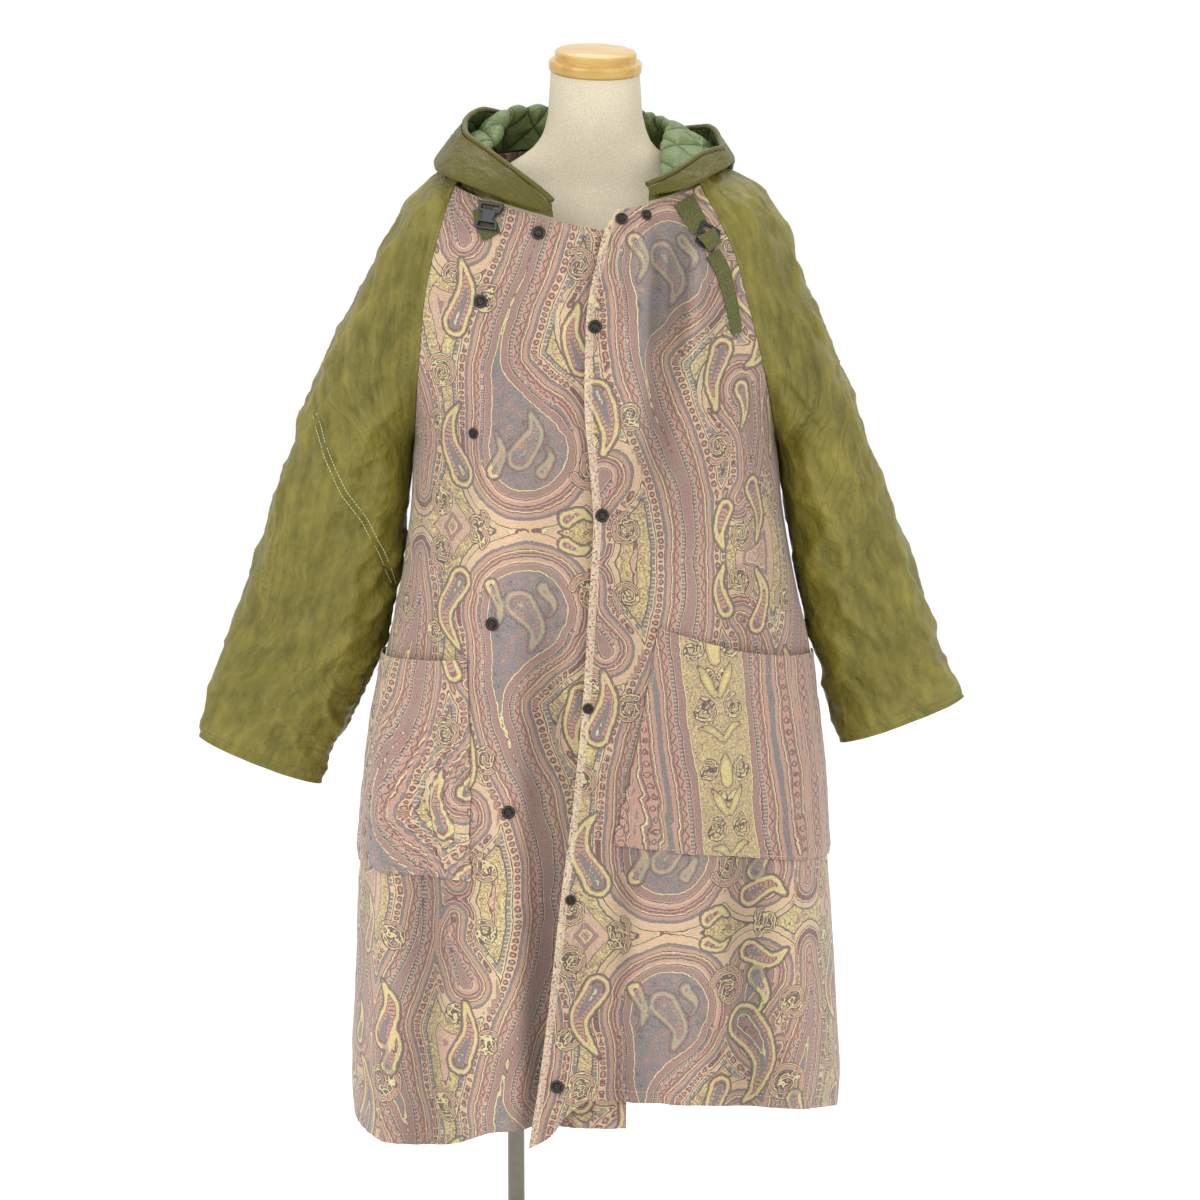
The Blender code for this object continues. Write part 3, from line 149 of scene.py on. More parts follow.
# hem height from the front edge (0) to the side seam (1)
HEM_RIGHT = ((0.0, 338), (0.3, 336), (0.42, 314), (0.58, 300), (0.8, 300), (1.0, 305))
HEM_LEFT = (
    (0.0, 322), (0.05, 336), (0.1, 366), (0.15, 380), (0.35, 370), (0.55, 356), (0.78, 334), (1.0, 306),
)
HEM_BACK = 303
LOWEST_HEM = 340              # a fold that ends above this fades out, one that ends below runs to the hem
# x of the free front edges down the coat, millimetres from the middle
EDGE_RIGHT = ((1380, 30), (1200, 34), (900, 36), (600, 36), (340, 34))
EDGE_LEFT = (
    (1403, 23), (1380, 9), (1346, 0), (1279, -12), (1189, -14), (1109, -8), (1052, -4),
    (961, -9), (846, -16), (730, -27), (613, -42), (495, -55), (401, -67), (325, -79),
)
# how far the left front lies in front of the body's sections down its edge
EDGE_LIFT = ((1403, 8), (1150, 8), (900, 9), (600, 12), (325, 17))
LIFT_WIDTH = (78, 34)         # distances from the middle between which the lift grows
# how far the right front lies behind them where the left one covers it
EDGE_RECESS = ((1380, 0), (1250, 1), (1000, 5), (700, 9), (338, 12))
RECESS_WIDTH = (96, 52)
SIDE_SEAM_TURN = {"right": -14.0, "left": 0.0}   # degrees the side seam sits behind the side

CAP_ROWS = 8
SKIRT_ROWS = 12
FRONT_COLUMNS = 14
BACK_COLUMNS = 20
SLEEVE_TUBE_ROWS = 9
SLEEVE_AROUND = 18

# ------------------------------------------------------------------ folds
# on a front: u is the distance from the middle towards the side, (u, z) of the upper and lower
# end, half width, height (minus is a valley).
FOLDS_RIGHT = (
    (60, 1010, 62, 330, 26, -13),
    (118, 1250, 112, 330, 30, 7),
    (205, 960, 215, 280, 30, -9),
    (262, 1010, 270, 280, 26, 7),
)
FOLDS_LEFT = (
    (90, 1420, 66, 1060, 20, -9),
    (56, 1430, 36, 1080, 22, 4),
    (46, 900, 22, 300, 16, -8),
    (108, 1080, 92, 300, 32, 8),
    (172, 1000, 188, 280, 34, -9),
    (240, 1010, 262, 280, 32, 5),
)
FOLDS_BACK = (
    (-205, 960, -215, 280, 30, 8),
    (-130, 1180, -140, 280, 36, -10),
    (-45, 1240, -52, 280, 34, 9),
    (40, 1180, 46, 280, 32, -9),
    (120, 1120, 132, 280, 34, 10),
    (205, 980, 214, 280, 30, -8),
)
# on a sleeve: station and angle (degrees, 0 at the inner edge, 90 in front, 180 outside) of both
# ends, half width, height.
SLEEVE_FOLDS_RIGHT = (
    (1.0, 128, 6.6, 96, 24, -6),
    (8.2, 84, 14.6, 118, 24, -6),
    (3.0, 226, 9.5, 252, 24, -6),
    (9.5, 296, 14.8, 250, 24, 5),
)
SLEEVE_FOLDS_LEFT = (
    (1.0, 120, 7.2, 100, 24, -6),
    (8.0, 108, 13.6, 78, 24, -6),
    (3.0, 226, 9.5, 252, 24, -6),
    (9.0, 290, 14.0, 254, 24, 5),
)

FOLDS = {"right": FOLDS_RIGHT, "left": FOLDS_LEFT, "back": FOLDS_BACK}
SLEEVE_FOLDS = {"right": SLEEVE_FOLDS_RIGHT, "left": SLEEVE_FOLDS_LEFT}


# ------------------------------------------------------------------ tools
def curve_through(keys, values):
    """A smooth function through a table: cubic between rows, with slopes that never overshoot."""
    keys = np.asarray(keys, float)
    values = np.asarray(values, float)
    order = np.argsort(keys)
    keys, values = keys[order], values[order]
    steps = np.diff(keys)
    slopes = np.diff(values) / steps
    tangents = np.zeros_like(values)
    same_way = slopes[:-1] * slopes[1:] > 0
    mean = (steps[:-1] + steps[1:]) * slopes[:-1] * slopes[1:]
    weight = steps[1:] * slopes[1:] + steps[:-1] * slopes[:-1]
    inner = np.where(same_way, mean / np.where(same_way, weight, 1.0), 0.0)
    tangents[1:-1] = inner
    tangents[0], tangents[-1] = slopes[0], slopes[-1]

    def at(key):
        key = np.clip(np.asarray(key, float), keys[0], keys[-1])
        i = np.clip(np.searchsorted(keys, key) - 1, 0, len(keys) - 2)
        h = steps[i]
        s = (key - keys[i]) / h
        blend = s * s * (3 - 2 * s)
        value = values[i] + blend * (values[i + 1] - values[i])
        return value + h * s * (1 - s) * ((1 - s) * tangents[i] - s * tangents[i + 1])

    return at


def step(low, high, value):
    """0 below low, 1 above high, smooth between."""
    s = np.clip((value - low) / (high - low), 0, 1)
    return s * s * (3 - 2 * s)


def columns(table, names):
    """A table's columns as smooth functions of its row number."""
    rows = np.asarray(table, float)
    return {name: curve_through(np.arange(len(rows)), rows[:, i]) for i, name in enumerate(names)}


def by_height(table, names):
    rows = np.asarray(table, float)
    return {name: curve_through(rows[:, 0], rows[:, i]) for i, name in enumerate(names) if i}


def unit(vectors):
    """Each row of an array of vectors at length 1."""
    return vectors / np.linalg.norm(vectors, axis=-1)[..., None]


def walk(points):
    """The way along a line of points to each of them."""
    return np.r_[0, np.cumsum(np.linalg.norm(np.diff(points, axis=0), axis=1))]


def walk_down(grid):
    """The way down each column of a grid to each of its points."""
    steps = np.linalg.norm(np.diff(grid, axis=0), axis=2)
    return np.concatenate([np.zeros((1, grid.shape[1])), np.cumsum(steps, axis=0)])


def resample(points, lengths, wanted):
    """Points at the wanted distances along a polyline."""
    return np.stack([np.interp(wanted, lengths, points[:, i]) for i in range(points.shape[1])], -1)


def resample_line(path, pitch):
    walked = walk(path)
    return resample(path, walked, np.arange(0, walked[-1], pitch))


def extended(points):
    """Points with one more at both ends, straight on."""
    return np.concatenate([2 * points[:1] - points[1:2], points, 2 * points[-1:] - points[-2:-1]])


def curve_between(a, b, c, d, t):
    """A smooth curve from b to c at the share t, with a before them and d after them."""
    square, cube = 2 * a - 5 * b + 4 * c - d, 3 * b - a - 3 * c + d
    return 0.5 * (2 * b + (c - a) * t + square * t ** 2 + cube * t ** 3)


SLEEVES = {"right": columns(SLEEVE_RIGHT, SLEEVE_COLUMNS), "left": columns(SLEEVE_LEFT, SLEEVE_COLUMNS)}
LAST_STATION = {"right": len(SLEEVE_RIGHT) - 1, "left": len(SLEEVE_LEFT) - 1}
BODY_AT = by_height(BODY, BODY_COLUMNS)
SIGN = {"right": -1.0, "left": 1.0}
CAP_STATIONS = np.arange(UNDERARM + 1)
CAP_FRONT = {
    "right": curve_through(CAP_STATIONS, CAP_FRONT_RIGHT),
    "left": curve_through(CAP_STATIONS, CAP_FRONT_LEFT),
}
CAP_CENTRE_BACK = curve_through(CAP_STATIONS, CAP_BACK)
HEM = {"right": curve_through(*zip(*HEM_RIGHT)), "left": curve_through(*zip(*HEM_LEFT))}
EDGE = {"right": curve_through(*zip(*EDGE_RIGHT)), "left": curve_through(*zip(*EDGE_LEFT))}


def power(value):
    """The signed power that squares up a circle's sine or cosine."""
    return np.sign(value) * np.abs(value) ** (2 / SQUARENESS)


def fold_height(table, across, along, key):
    """Sum of the folds in a table at points (across, along), where along runs as key says."""
    total = np.zeros(np.broadcast(across, along).shape)
    for a0, s0, a1, s1, width, height in table:
        if key == "drop":
            across0, along0, across1, along1 = a0, s0, a1, s1
        else:
            across0, along0, across1, along1 = s0, a0, s1, a1
        s = (along - along0) / (along1 - along0)
        middle = across0 + (across1 - across0) * np.clip(s, 0, 1)
        fade = step(-0.02, 0.35, s)
        if key != "drop" or along1 > LOWEST_HEM:
            fade = fade * step(1.05, 0.7, s)
        total += height * fade * np.exp(-(((across - middle) / width) ** 2))
    return total


# ------------------------------------------------------------------ sections of the coat
def sleeve_section(side, station):
    at = {name: float(fn(station)) for name, fn in SLEEVES[side].items()}
    seam = np.array([SIGN[side] * at["sx"], at["sz"]])
    outer = np.array([SIGN[side] * at["ox"], at["oz"]])
    cut = np.radians(at["cut"]) if station < UNDERARM else 0.0
    reach = np.linalg.norm(outer - seam)
    half = reach / (1 + np.cos(cut))
    direction = (outer - seam) / reach
    return {"cut": cut, "half": half, "direction": direction, "centre": outer - half * direction,
            "depth": at["depth"], "back": (SIGN[side] * at["bx"], at["bz"])}


def sleeve_points(side, station, share):
    """Points round a sleeve section, share 0 to 1 from the front seam over the outside to the back."""
    s = sleeve_section(side, station)
    angle = s["cut"] + (2 * np.pi - 2 * s["cut"]) * share
    along = -s["half"] * np.cos(angle)
    behind = np.clip(-np.sin(angle), 0, None) ** 2
    x = s["centre"][0] + along * s["direction"][0] + s["back"][0] * behind
    z = s["centre"][1] + along * s["direction"][1] + s["back"][1] * behind
    y = SLEEVE_BACKSET * step(UNDERARM, UNDERARM + 1.6, station) - s["depth"] * np.sin(angle)
    return np.stack([x, y, z], -1), np.degrees(angle)


def body_row(side, seam_x, seam_y, half, depth, back_depth, turn):
    """A quarter section as a polyline (x, y) from the seam to the middle and flat beyond it."""
    if seam_x is not None:
        turn = np.arcsin(np.clip(-seam_y / depth, 0, 0.98) ** (SQUARENESS / 2))
        half = abs(seam_x) / power(np.cos(turn))
    angle = np.linspace(turn, np.pi / 2, 90)
    y = np.where(angle >= 0, -depth, -back_depth) * power(np.sin(angle))
    x = half * power(np.cos(angle)) * SIGN[side]
    if seam_x is not None:
        x[0], y[0] = seam_x, seam_y
    beyond = np.linspace(1.5, 130, 60)
    return np.stack([np.r_[x, -SIGN[side] * beyond], np.r_[y, np.full(60, -depth)]], -1)


def body_stations(cap_rows, skirt_rows):
    """Stations from the neckline to the underarm and on to the hem, one unit further."""
    return np.r_[np.linspace(0, UNDERARM, cap_rows), np.linspace(0, 1, skirt_rows + 1)[1:] + UNDERARM]


def front_grid(side, cap_rows, skirt_rows, column_count):
    """Grid of a front, rows from the neckline down, columns from the side to the front edge."""
    rows, distance = [], []
    stations = body_stations(cap_rows, skirt_rows)
    share = np.linspace(0, 1, column_count)
    for station in stations:
        if station <= UNDERARM:
            seam = sleeve_points(side, station, np.array([0.0]))[0][0]
            z_edge, z_seam = float(CAP_FRONT[side](station)), seam[2]
            heights = z_seam + (z_edge - z_seam) * (1 - (1 - share) ** NECK_DROP)
            depth = float(BODY_AT["front"](z_edge))
            line = body_row(side, seam[0], seam[1], 0, depth, depth, 0)
            edge_at = z_edge
        else:
            drop = station - UNDERARM
            z_under = sleeve_points(side, UNDERARM, np.array([0.0]))[0][0][2]
            hem = HEM[side](1 - share)
            heights = z_under + (hem - z_under) * drop
            z_side, edge_at = heights[0], heights[-1]
            middle = float(np.interp(0.8, share, heights))
            turn = np.radians(SIDE_SEAM_TURN[side]) * step(1060, 930, z_side)
            line = body_row(side, None, None, float(BODY_AT[side](z_side)),
                            float(BODY_AT["front"](middle)), float(BODY_AT["back"](z_side)), turn)
        lengths = walk(line)
        to_edge = np.interp(-SIGN[side] * float(EDGE[side](edge_at)), -SIGN[side] * line[:, 0], lengths)
        to_middle = np.interp(0.0, -SIGN[side] * line[:, 0], lengths)
        at = resample(line, lengths, share * to_edge)
        rows.append(np.c_[at, heights])
        distance.append(to_middle - share * to_edge)
    grid, u = np.array(rows), np.array(distance)
    if side == "left":
        grid[..., 1] -= curve_through(*zip(*EDGE_LIFT))(grid[..., 2]) * step(*LIFT_WIDTH, u)
    else:
        grid[..., 1] += curve_through(*zip(*EDGE_RECESS))(grid[..., 2]) * step(*RECESS_WIDTH, u)
    return grid, u


def back_grid(cap_rows, skirt_rows, column_count):
    """Grid of the back, columns from the right seam to the left one."""
    rows, distance = [], []
    stations = body_stations(cap_rows, skirt_rows)
    half_count = column_count // 2
    share = np.linspace(0, 1, half_count + 1)
    for station in stations:
        halves = []
        for side in ("right", "left"):
            if station <= UNDERARM:
                seam = sleeve_points(side, station, np.array([1.0]))[0][0]
                z_middle = float(CAP_CENTRE_BACK(station))
                heights = seam[2] + (z_middle - seam[2]) * (1 - (1 - share) ** BACK_NECK_DROP)
                depth = float(BODY_AT["back"](z_middle))
                depth = max(depth, abs(seam[1]) + 2.0)
                line = body_row(side, seam[0], -seam[1], 0, depth, depth, 0)
            else:
                drop = station - UNDERARM
                z_under = sleeve_points(side, UNDERARM, np.array([0.0]))[0][0][2]
                hem_side = float(HEM[side](1.0))
                hem = hem_side + (HEM_BACK - hem_side) * step(0, 0.5, share)
                heights = z_under + (hem - z_under) * drop
                depth = float(BODY_AT["back"](heights[-1]))
                turn = np.radians(-SIDE_SEAM_TURN[side]) * step(1060, 930, heights[0])
                side_depth = float(BODY_AT["back"](heights[0]))
                half = float(BODY_AT[side](heights[0]))
                line = body_row(side, None, None, half, side_depth, side_depth, turn)
                line[:91, 1] *= np.linspace(1, depth / side_depth, 91)
            line = line[:91]
            line[90] = (0.0, line[89, 1])
            line[:, 1] *= -1
            lengths = walk(line)
            at = np.c_[resample(line, lengths, share * lengths[-1]), heights]
            halves.append((at, SIGN[side] * (lengths[-1] * (1 - share))))
        (right, ru), (left, lu) = halves
        rows.append(np.r_[right, left[-2::-1]])
        distance.append(np.r_[ru, lu[-2::-1]])
    return np.array(rows), np.array(distance)


# ------------------------------------------------------------------ meshes
def grid_normals(grid, flip):
    """Unit normals of a grid by its rows' and columns' directions."""
    down = np.gradient(grid, axis=0)
    across = np.gradient(grid, axis=1)
    normal = np.cross(down, across)
    normal /= np.maximum(np.linalg.norm(normal, axis=2), 1e-9)[..., None]
    return -normal if flip else normal


class Sheet:
    """A cloth face: points, quads and how far its wall reaches behind each point."""

    def __init__(self, name, grid, thickness, flip=False, index=None):
        if index is None:
            index = np.arange(grid.shape[0] * grid.shape[1]).reshape(grid.shape[:2])
        quads = np.stack([index[:-1, :-1], index[1:, :-1], index[1:, 1:], index[:-1, 1:]], -1).reshape(-1, 4)
        if flip:
            quads = quads[:, [0, 3, 2, 1]]
        used, quads = np.unique(quads, return_inverse=True)
        self.name = name
        self.grid = grid
        self.index = index
        self.used = used
        self.points = grid.reshape(-1, 3)[used]
        self.quads = quads.reshape(-1, 4)
        self.thickness = np.broadcast_to(thickness, grid.shape[:2]).reshape(-1)[used]
        corners = self.points[self.quads]
        first = np.linalg.norm(corners[:, 0] - corners[:, 2], axis=1)
        second = np.linalg.norm(corners[:, 1] - corners[:, 3], axis=1)
        turned = (second < first)[:, None]      # quads are cut along their shorter diagonal
        self.quads = np.where(turned, np.roll(self.quads, -1, axis=1), self.quads)
        corners = self.points[self.quads]
        total = np.zeros_like(self.points)
        for trio in ((0, 1, 2), (0, 2, 3)):
            a, b, c = (corners[:, i] for i in trio)
            faces = np.cross(b - a, c - a)
            faces /= np.maximum(np.linalg.norm(faces, axis=1), 1e-9)[:, None]
            for i in trio:
                np.add.at(total, self.quads[:, i], faces)
        self.normals = total / np.maximum(np.linalg.norm(total, axis=1), 1e-9)[:, None]

    def surface(self):
        """The grid's points with their normals."""
        normals = np.zeros((self.grid.shape[0] * self.grid.shape[1], 3))
        normals[self.used] = self.normals
        return self.grid, normals[self.index]


def join_seams(body, sleeves):
    """Gives sheets that meet at a point one normal there, and draws their edges a gap apart."""
    sheets = body + sleeves
    places_at = {}
    for s, sheet in enumerate(sheets):
        for v, point in enumerate(np.round(sheet.points, 3) + 0.0):
            places_at.setdefault(tuple(point), []).append((s, v))
    shared = [set() for _ in sheets]
    for places in places_at.values():
        if len({s for s, _ in places}) < 2:
            continue
        own = []
        for group in (body, sleeves):
            part = sum((sheets[s].normals[v] for s, v in places if sheets[s] in group), np.zeros(3))
            own.append(part / max(np.linalg.norm(part), 1e-9))
        normal = (own[0] + own[1]) / np.linalg.norm(own[0] + own[1])
        thickness = min(sheets[s].thickness[v] for s, v in places)
        corner = len({s for s, _ in places}) > 2
        for s, v in places:
            apart = own[sheets[s] in sleeves] if corner else 0.0
            sheets[s].normals[v] = (normal + 0.7 * apart) / np.linalg.norm(normal + 0.7 * apart)
            sheets[s].thickness[v] = thickness * (UNDERARM_DEPTH if corner else 1.0)
            shared[s].add(v)
    for sheet, members in zip(sheets, shared):
        inward = np.zeros_like(sheet.points)
        for quad in sheet.quads:
            inside = [v for v in quad if v not in members]
            for v in quad:
                if v in members and inside:
                    inward[v] += sheet.points[inside].mean(axis=0) - sheet.points[v]
        for v in members:
            direction = inward[v] - sheet.normals[v] * (inward[v] @ sheet.normals[v])
            sheet.points[v] += SEAM_GAP * direction / max(np.linalg.norm(direction), 1e-9)


def wall(name, outer, inner, quads, material):
    """The closed wall between an outer and an inner face, in millimetres."""
    count = len(outer)
    faces = []
    for a, b, c, d in quads:
        faces += [(a, b, c), (a, c, d), (a + count, c + count, b + count), (a + count, d + count, c + count)]
    edges = {(a, b) for quad in quads for a, b in zip(quad, np.roll(quad, -1))}
    for a, b in sorted(edges):
        if (b, a) not in edges:
            faces.append((b, a, a + count, b + count))
    return new_object(name, np.r_[outer, inner] * MM, faces, material)


# ------------------------------------------------------------------ the coat's body and sleeves
def seam_fade(share, low=0.0, high=0.14):
    return step(low, high, share)


def free_share(count):
    """0 at a seam to 1 away from it, for the columns of a front."""
    return seam_fade(np.linspace(0, 1, count)[None, :])


def raised(grid, flip, height):
    return grid + grid_normals(grid, flip) * height[..., None]


def sleeve_rings(side, cap_rows, tube_rows, around):
    """A sleeve's grid, its angles and stations, and how freely folds may rise at each point."""
    tube = np.linspace(UNDERARM, LAST_STATION[side], tube_rows + 1)[1:]
    stations = np.r_[np.linspace(0, UNDERARM, cap_rows), tube]
    share = np.linspace(0, 1, around + 1)
    rows, angles = zip(*[sleeve_points(side, station, share) for station in stations])
    edge = seam_fade(share, 0, 0.1) * seam_fade(1 - share, 0, 0.1)
    open_rows = step(UNDERARM + 2, UNDERARM, stations)[:, None]
    return np.array(rows), np.array(angles), stations, 1 - open_rows * (1 - edge[None, :])


def coarse_neckline():
    """The neck edge of the coarse grids that the solids have, from the right front edge to the left."""
    fronts, sleeves = {}, {}
    for side in ("right", "left"):
        grid, u = front_grid(side, CAP_ROWS, SKIRT_ROWS, FRONT_COLUMNS)
        height = fold_height(FOLDS[side], u, grid[..., 2], "drop") * free_share(FRONT_COLUMNS)
        fronts[side] = raised(grid, side == "left", height)
        grid, angles, stations, free = sleeve_rings(side, CAP_ROWS, SLEEVE_TUBE_ROWS, SLEEVE_AROUND)
        height = fold_height(SLEEVE_FOLDS[side], angles, stations[:, None] + 0 * angles, "along") * free
        sleeves[side] = raised(grid, side == "right", height)
    grid, u = back_grid(CAP_ROWS, SKIRT_ROWS, BACK_COLUMNS)
    share = np.linspace(0, 1, grid.shape[1])[None, :]
    height = fold_height(FOLDS["back"], u, grid[..., 2], "drop") * (seam_fade(share) * seam_fade(1 - share))
    back = raised(grid, True, height)
    line = np.concatenate((
        fronts["right"][0, ::-1], sleeves["right"][0], back[0], sleeves["left"][0, ::-1], fronts["left"][0],
    ))
    steps = np.r_[True, np.linalg.norm(np.diff(line, axis=0), axis=1) > 0.01]
    return line[steps]


# ------------------------------------------------------------------ the hood
# Round the neck from the wearer's right front end to the left one. base is the neck seam, ridge
# the roll round the neck, mid a point on the way down, inner and outer the two corners of the
# bag's bottom, rim the face opening's edge. Each is x, y, z. The base is moved to the neckline.
HOOD = (
    ((-50, -132, 1391), (-50, -132, 1394), (-50, -132, 1397), (-51, -132, 1400), (-51, -133, 1403),
     (-51, -134, 1406)),
    ((-74, -128, 1397), (-74, -128, 1400), (-78, -130, 1403), (-84, -135, 1405), (-87, -134, 1411),
     (-74, -128, 1426)),
    ((-108, -118, 1407), (-109, -118, 1412), (-114, -121, 1418), (-123, -130, 1422), (-130, -129, 1430),
     (-104, -110, 1450)),
    ((-139, -104, 1418), (-137, -99, 1435), (-148, -106, 1443), (-166, -114, 1433), (-178, -110, 1442),
     (-133, -83, 1470)),
    ((-152, -43, 1460), (-120, -42, 1463), (-136, -44, 1478), (-176, -54, 1448), (-206, -60, 1440),
     (-155, -45, 1486)),
    ((-150, 0, 1465), (-102, -6, 1474), (-124, -4, 1496), (-174, 2, 1458), (-210, 0, 1446),
     (-157, -5, 1498)),
    ((-145, 38, 1469), (-92, 22, 1512), (-116, 44, 1522), (-162, 60, 1461), (-208, 62, 1431),
     (-138, 48, 1512)),
    ((-118, 85, 1463), (-72, 50, 1536), (-94, 92, 1512), (-138, 128, 1388), (-176, 150, 1340),
     (-110, 104, 1506)),
    ((-51, 87, 1467), (-46, 70, 1546), (-56, 120, 1508), (-78, 154, 1282), (-100, 210, 1252),
     (-62, 150, 1496)),
    ((0, 87, 1468), (0, 76, 1548), (0, 130, 1508), (0, 160, 1240), (0, 232, 1226), (0, 162, 1492)),
    ((48, 87, 1467), (42, 68, 1542), (50, 118, 1504), (74, 154, 1288), (96, 208, 1262), (60, 148, 1484)),
    ((96, 85, 1464), (64, 54, 1518), (86, 92, 1500), (130, 131, 1392), (168, 152, 1346), (112, 90, 1490)),
    ((111, 38, 1462), (70, 14, 1498), (98, 34, 1504), (142, 60, 1466), (188, 62, 1438), (136, 46, 1492)),
    ((112, 0, 1456), (66, -10, 1484), (88, -8, 1494), (138, 4, 1460), (176, 8, 1448), (147, 8, 1477)),
    ((113, -38, 1454), (60, -34, 1470), (80, -34, 1482), (132, -34, 1454), (174, -34, 1444),
     (148, -25, 1469)),
    ((115, -72, 1444), (60, -64, 1450), (78, -68, 1460), (119, -84, 1448), (150, -88, 1436),
     (126, -66, 1463)),
    ((107, -96, 1424), (64, -95, 1425), (78, -100, 1434), (101, -112, 1431), (126, -119, 1426),
     (100, -102, 1447)),
    ((83, -113, 1415), (68, -116, 1415), (71, -119, 1420), (82, -126, 1420), (94, -128, 1420),
     (78, -121, 1434)),
    ((60, -126, 1409), (60, -126, 1412), (60, -126, 1415), (60, -127, 1418), (60, -127, 1421),
     (59, -128, 1424)),
)
HOOD_LINING_WALL = 3.0
QUILT_HEIGHT = 3.2
QUILT_PITCH = 58.0
HOOD_AROUND = 38
HOOD_UP = 15
HOOD_SMOOTHING = 3
HOOD_SEAM_RISE = 2.7          # of the neck seam above the coat's edge
HOOD_SIDES = 0.2             # half the space between shell and lining
RIM_RADIUS = 3.6
THINNEST = 0.5
ROOM_SHARE = 0.34             # of the free distance that a face of the hood may fill
HOLLOW_SHARE = 0.5            # of a hollow's radius that it may fill
PRESSINGS = 8


def spline_weights(t, count):
    """Weights of a clamped cubic B-spline over its control points."""
    knots = np.r_[np.zeros(3), np.linspace(0, 1, count - 2), np.ones(3)]
    t = np.clip(t, 0, 1 - 1e-9)
    weights = ((t[:, None] >= knots[:-1]) & (t[:, None] < knots[1:])).astype(float)
    for degree in (1, 2, 3):
        size = len(knots) - degree - 1
        left = knots[degree:degree + size] - knots[:size]
        right = knots[degree + 1:degree + 1 + size] - knots[1:1 + size]
        a = np.where(left > 0, (t[:, None] - knots[:size]) / np.where(left > 0, left, 1), 0)
        ahead = knots[degree + 1:degree + 1 + size] - t[:, None]
        b = np.where(right > 0, ahead / np.where(right > 0, right, 1), 0)
        weights = a * weights[:, :size] + b * weights[:, 1:1 + size]
    return weights


def on_line(line, point):
    """The nearest point of a polyline."""
    start, along = line[:-1], np.diff(line, axis=0)
    share = np.clip(((point - start) * along).sum(1) / (along ** 2).sum(1), 0, 1)
    near = start + share[:, None] * along
    return near[np.argmin(np.linalg.norm(near - point, axis=1))]


def hood_grid(neck, around, up):
    """Grid of the hood's middle surface, rows from the neck seam to the rim."""
    table = np.array(HOOD, float)
    where = np.linspace(0, 1, 400)
    ring = np.array([np.stack([
        curve_through(np.arange(len(table)), table[:, p, c])(where * (len(table) - 1)) for c in range(3)
    ], -1) for p in range(table.shape[1])])
    inwards = np.stack([-ring[0, :, 0], -ring[0, :, 1], 0 * where], -1)
    inwards = unit(inwards)
    seat = COAT_WALL / 2 * inwards + (0, 0, HOOD_SEAM_RISE)
    moved = np.array([on_line(neck, point) for point in ring[0]]) + seat - ring[0]
    ends = step(2, 0, np.minimum(where, 1 - where) * (len(table) - 1))
    ring += moved * np.where(np.arange(len(ring))[:, None] == 0, 1, ends)[..., None]
    middle = ring[[0, 5]].mean(axis=0)
    walked = walk(middle)
    pick = np.interp(np.linspace(0, walked[-1], around + 1), walked, np.arange(400))
    controls = np.stack([
        np.stack([np.interp(pick, np.arange(400), ring[p, :, c]) for c in range(3)], -1)
        for p in range(table.shape[1])
    ])
    grid = np.einsum("tp,psc->tsc", spline_weights(np.linspace(0, 1, up + 1), table.shape[1]), controls)
    for _ in range(HOOD_SMOOTHING):
        mean = (grid[2:, 1:-1] + grid[:-2, 1:-1] + grid[1:-1, 2:] + grid[1:-1, :-2]) / 4
        grid[1:-1, 1:-1] += 0.5 * (mean - grid[1:-1, 1:-1])
    return grid


def quilting(grid, lengths):
    """Height of the quilted diamonds, 0 on the stitched lines and edges, and the lining's thickness."""
    rows, count = grid.shape[:2]
    u = walk(grid.mean(axis=0))[None, :]
    v = lengths
    a = np.abs(np.sin(np.pi * (u + v) / QUILT_PITCH))
    b = np.abs(np.sin(np.pi * (u - v) / QUILT_PITCH))
    share = np.linspace(0, 1, rows)[:, None]
    side = np.linspace(0, 1, count)[None, :]
    ends = step(0.04, 0.3, side) * step(0.04, 0.3, 1 - side)
    edge = step(0, 0.1, share) * step(0, 0.1, 1 - share)
    seam = 0.5 + 0.5 * step(0, 0.1, share)
    return QUILT_HEIGHT * np.minimum(a, b) ** 0.6 * edge * ends, HOOD_LINING_WALL * (0.4 + 0.6 * ends) * seam


def room(grid, normals, reach=40.0):
    """Free distance along the normals before a grid meets itself, the least of the neighbours'."""
    index = np.arange(grid.shape[0] * grid.shape[1]).reshape(grid.shape[:2])
    quads = np.stack([index[:-1, :-1], index[1:, :-1], index[1:, 1:], index[:-1, 1:]], -1).reshape(-1, 4)
    tree = BVHTree.FromPolygons(grid.reshape(-1, 3).tolist(), quads.tolist())
    free = np.full(len(normals), reach)
    for i, (point, normal) in enumerate(zip(grid.reshape(-1, 3), normals)):
        for lean in (0.0, -0.5, 0.5):
            for across in (np.array((0, 0, 1.0)), np.array((0, 1.0, 0))):
                side = np.cross(normal, across)
                ray = unit(normal + lean * side)
                hit = tree.ray_cast((point + 0.6 * ray).tolist(), ray.tolist(), reach)[3]
                if hit is not None:
                    free[i] = min(free[i], hit + 0.6)
    free = free.reshape(grid.shape[:2])
    padded = np.pad(free, 1, mode="edge")
    shape = grid.shape[:2]
    return np.min([padded[a:a + shape[0], b:b + shape[1]] for a in range(3) for b in range(3)], axis=0)


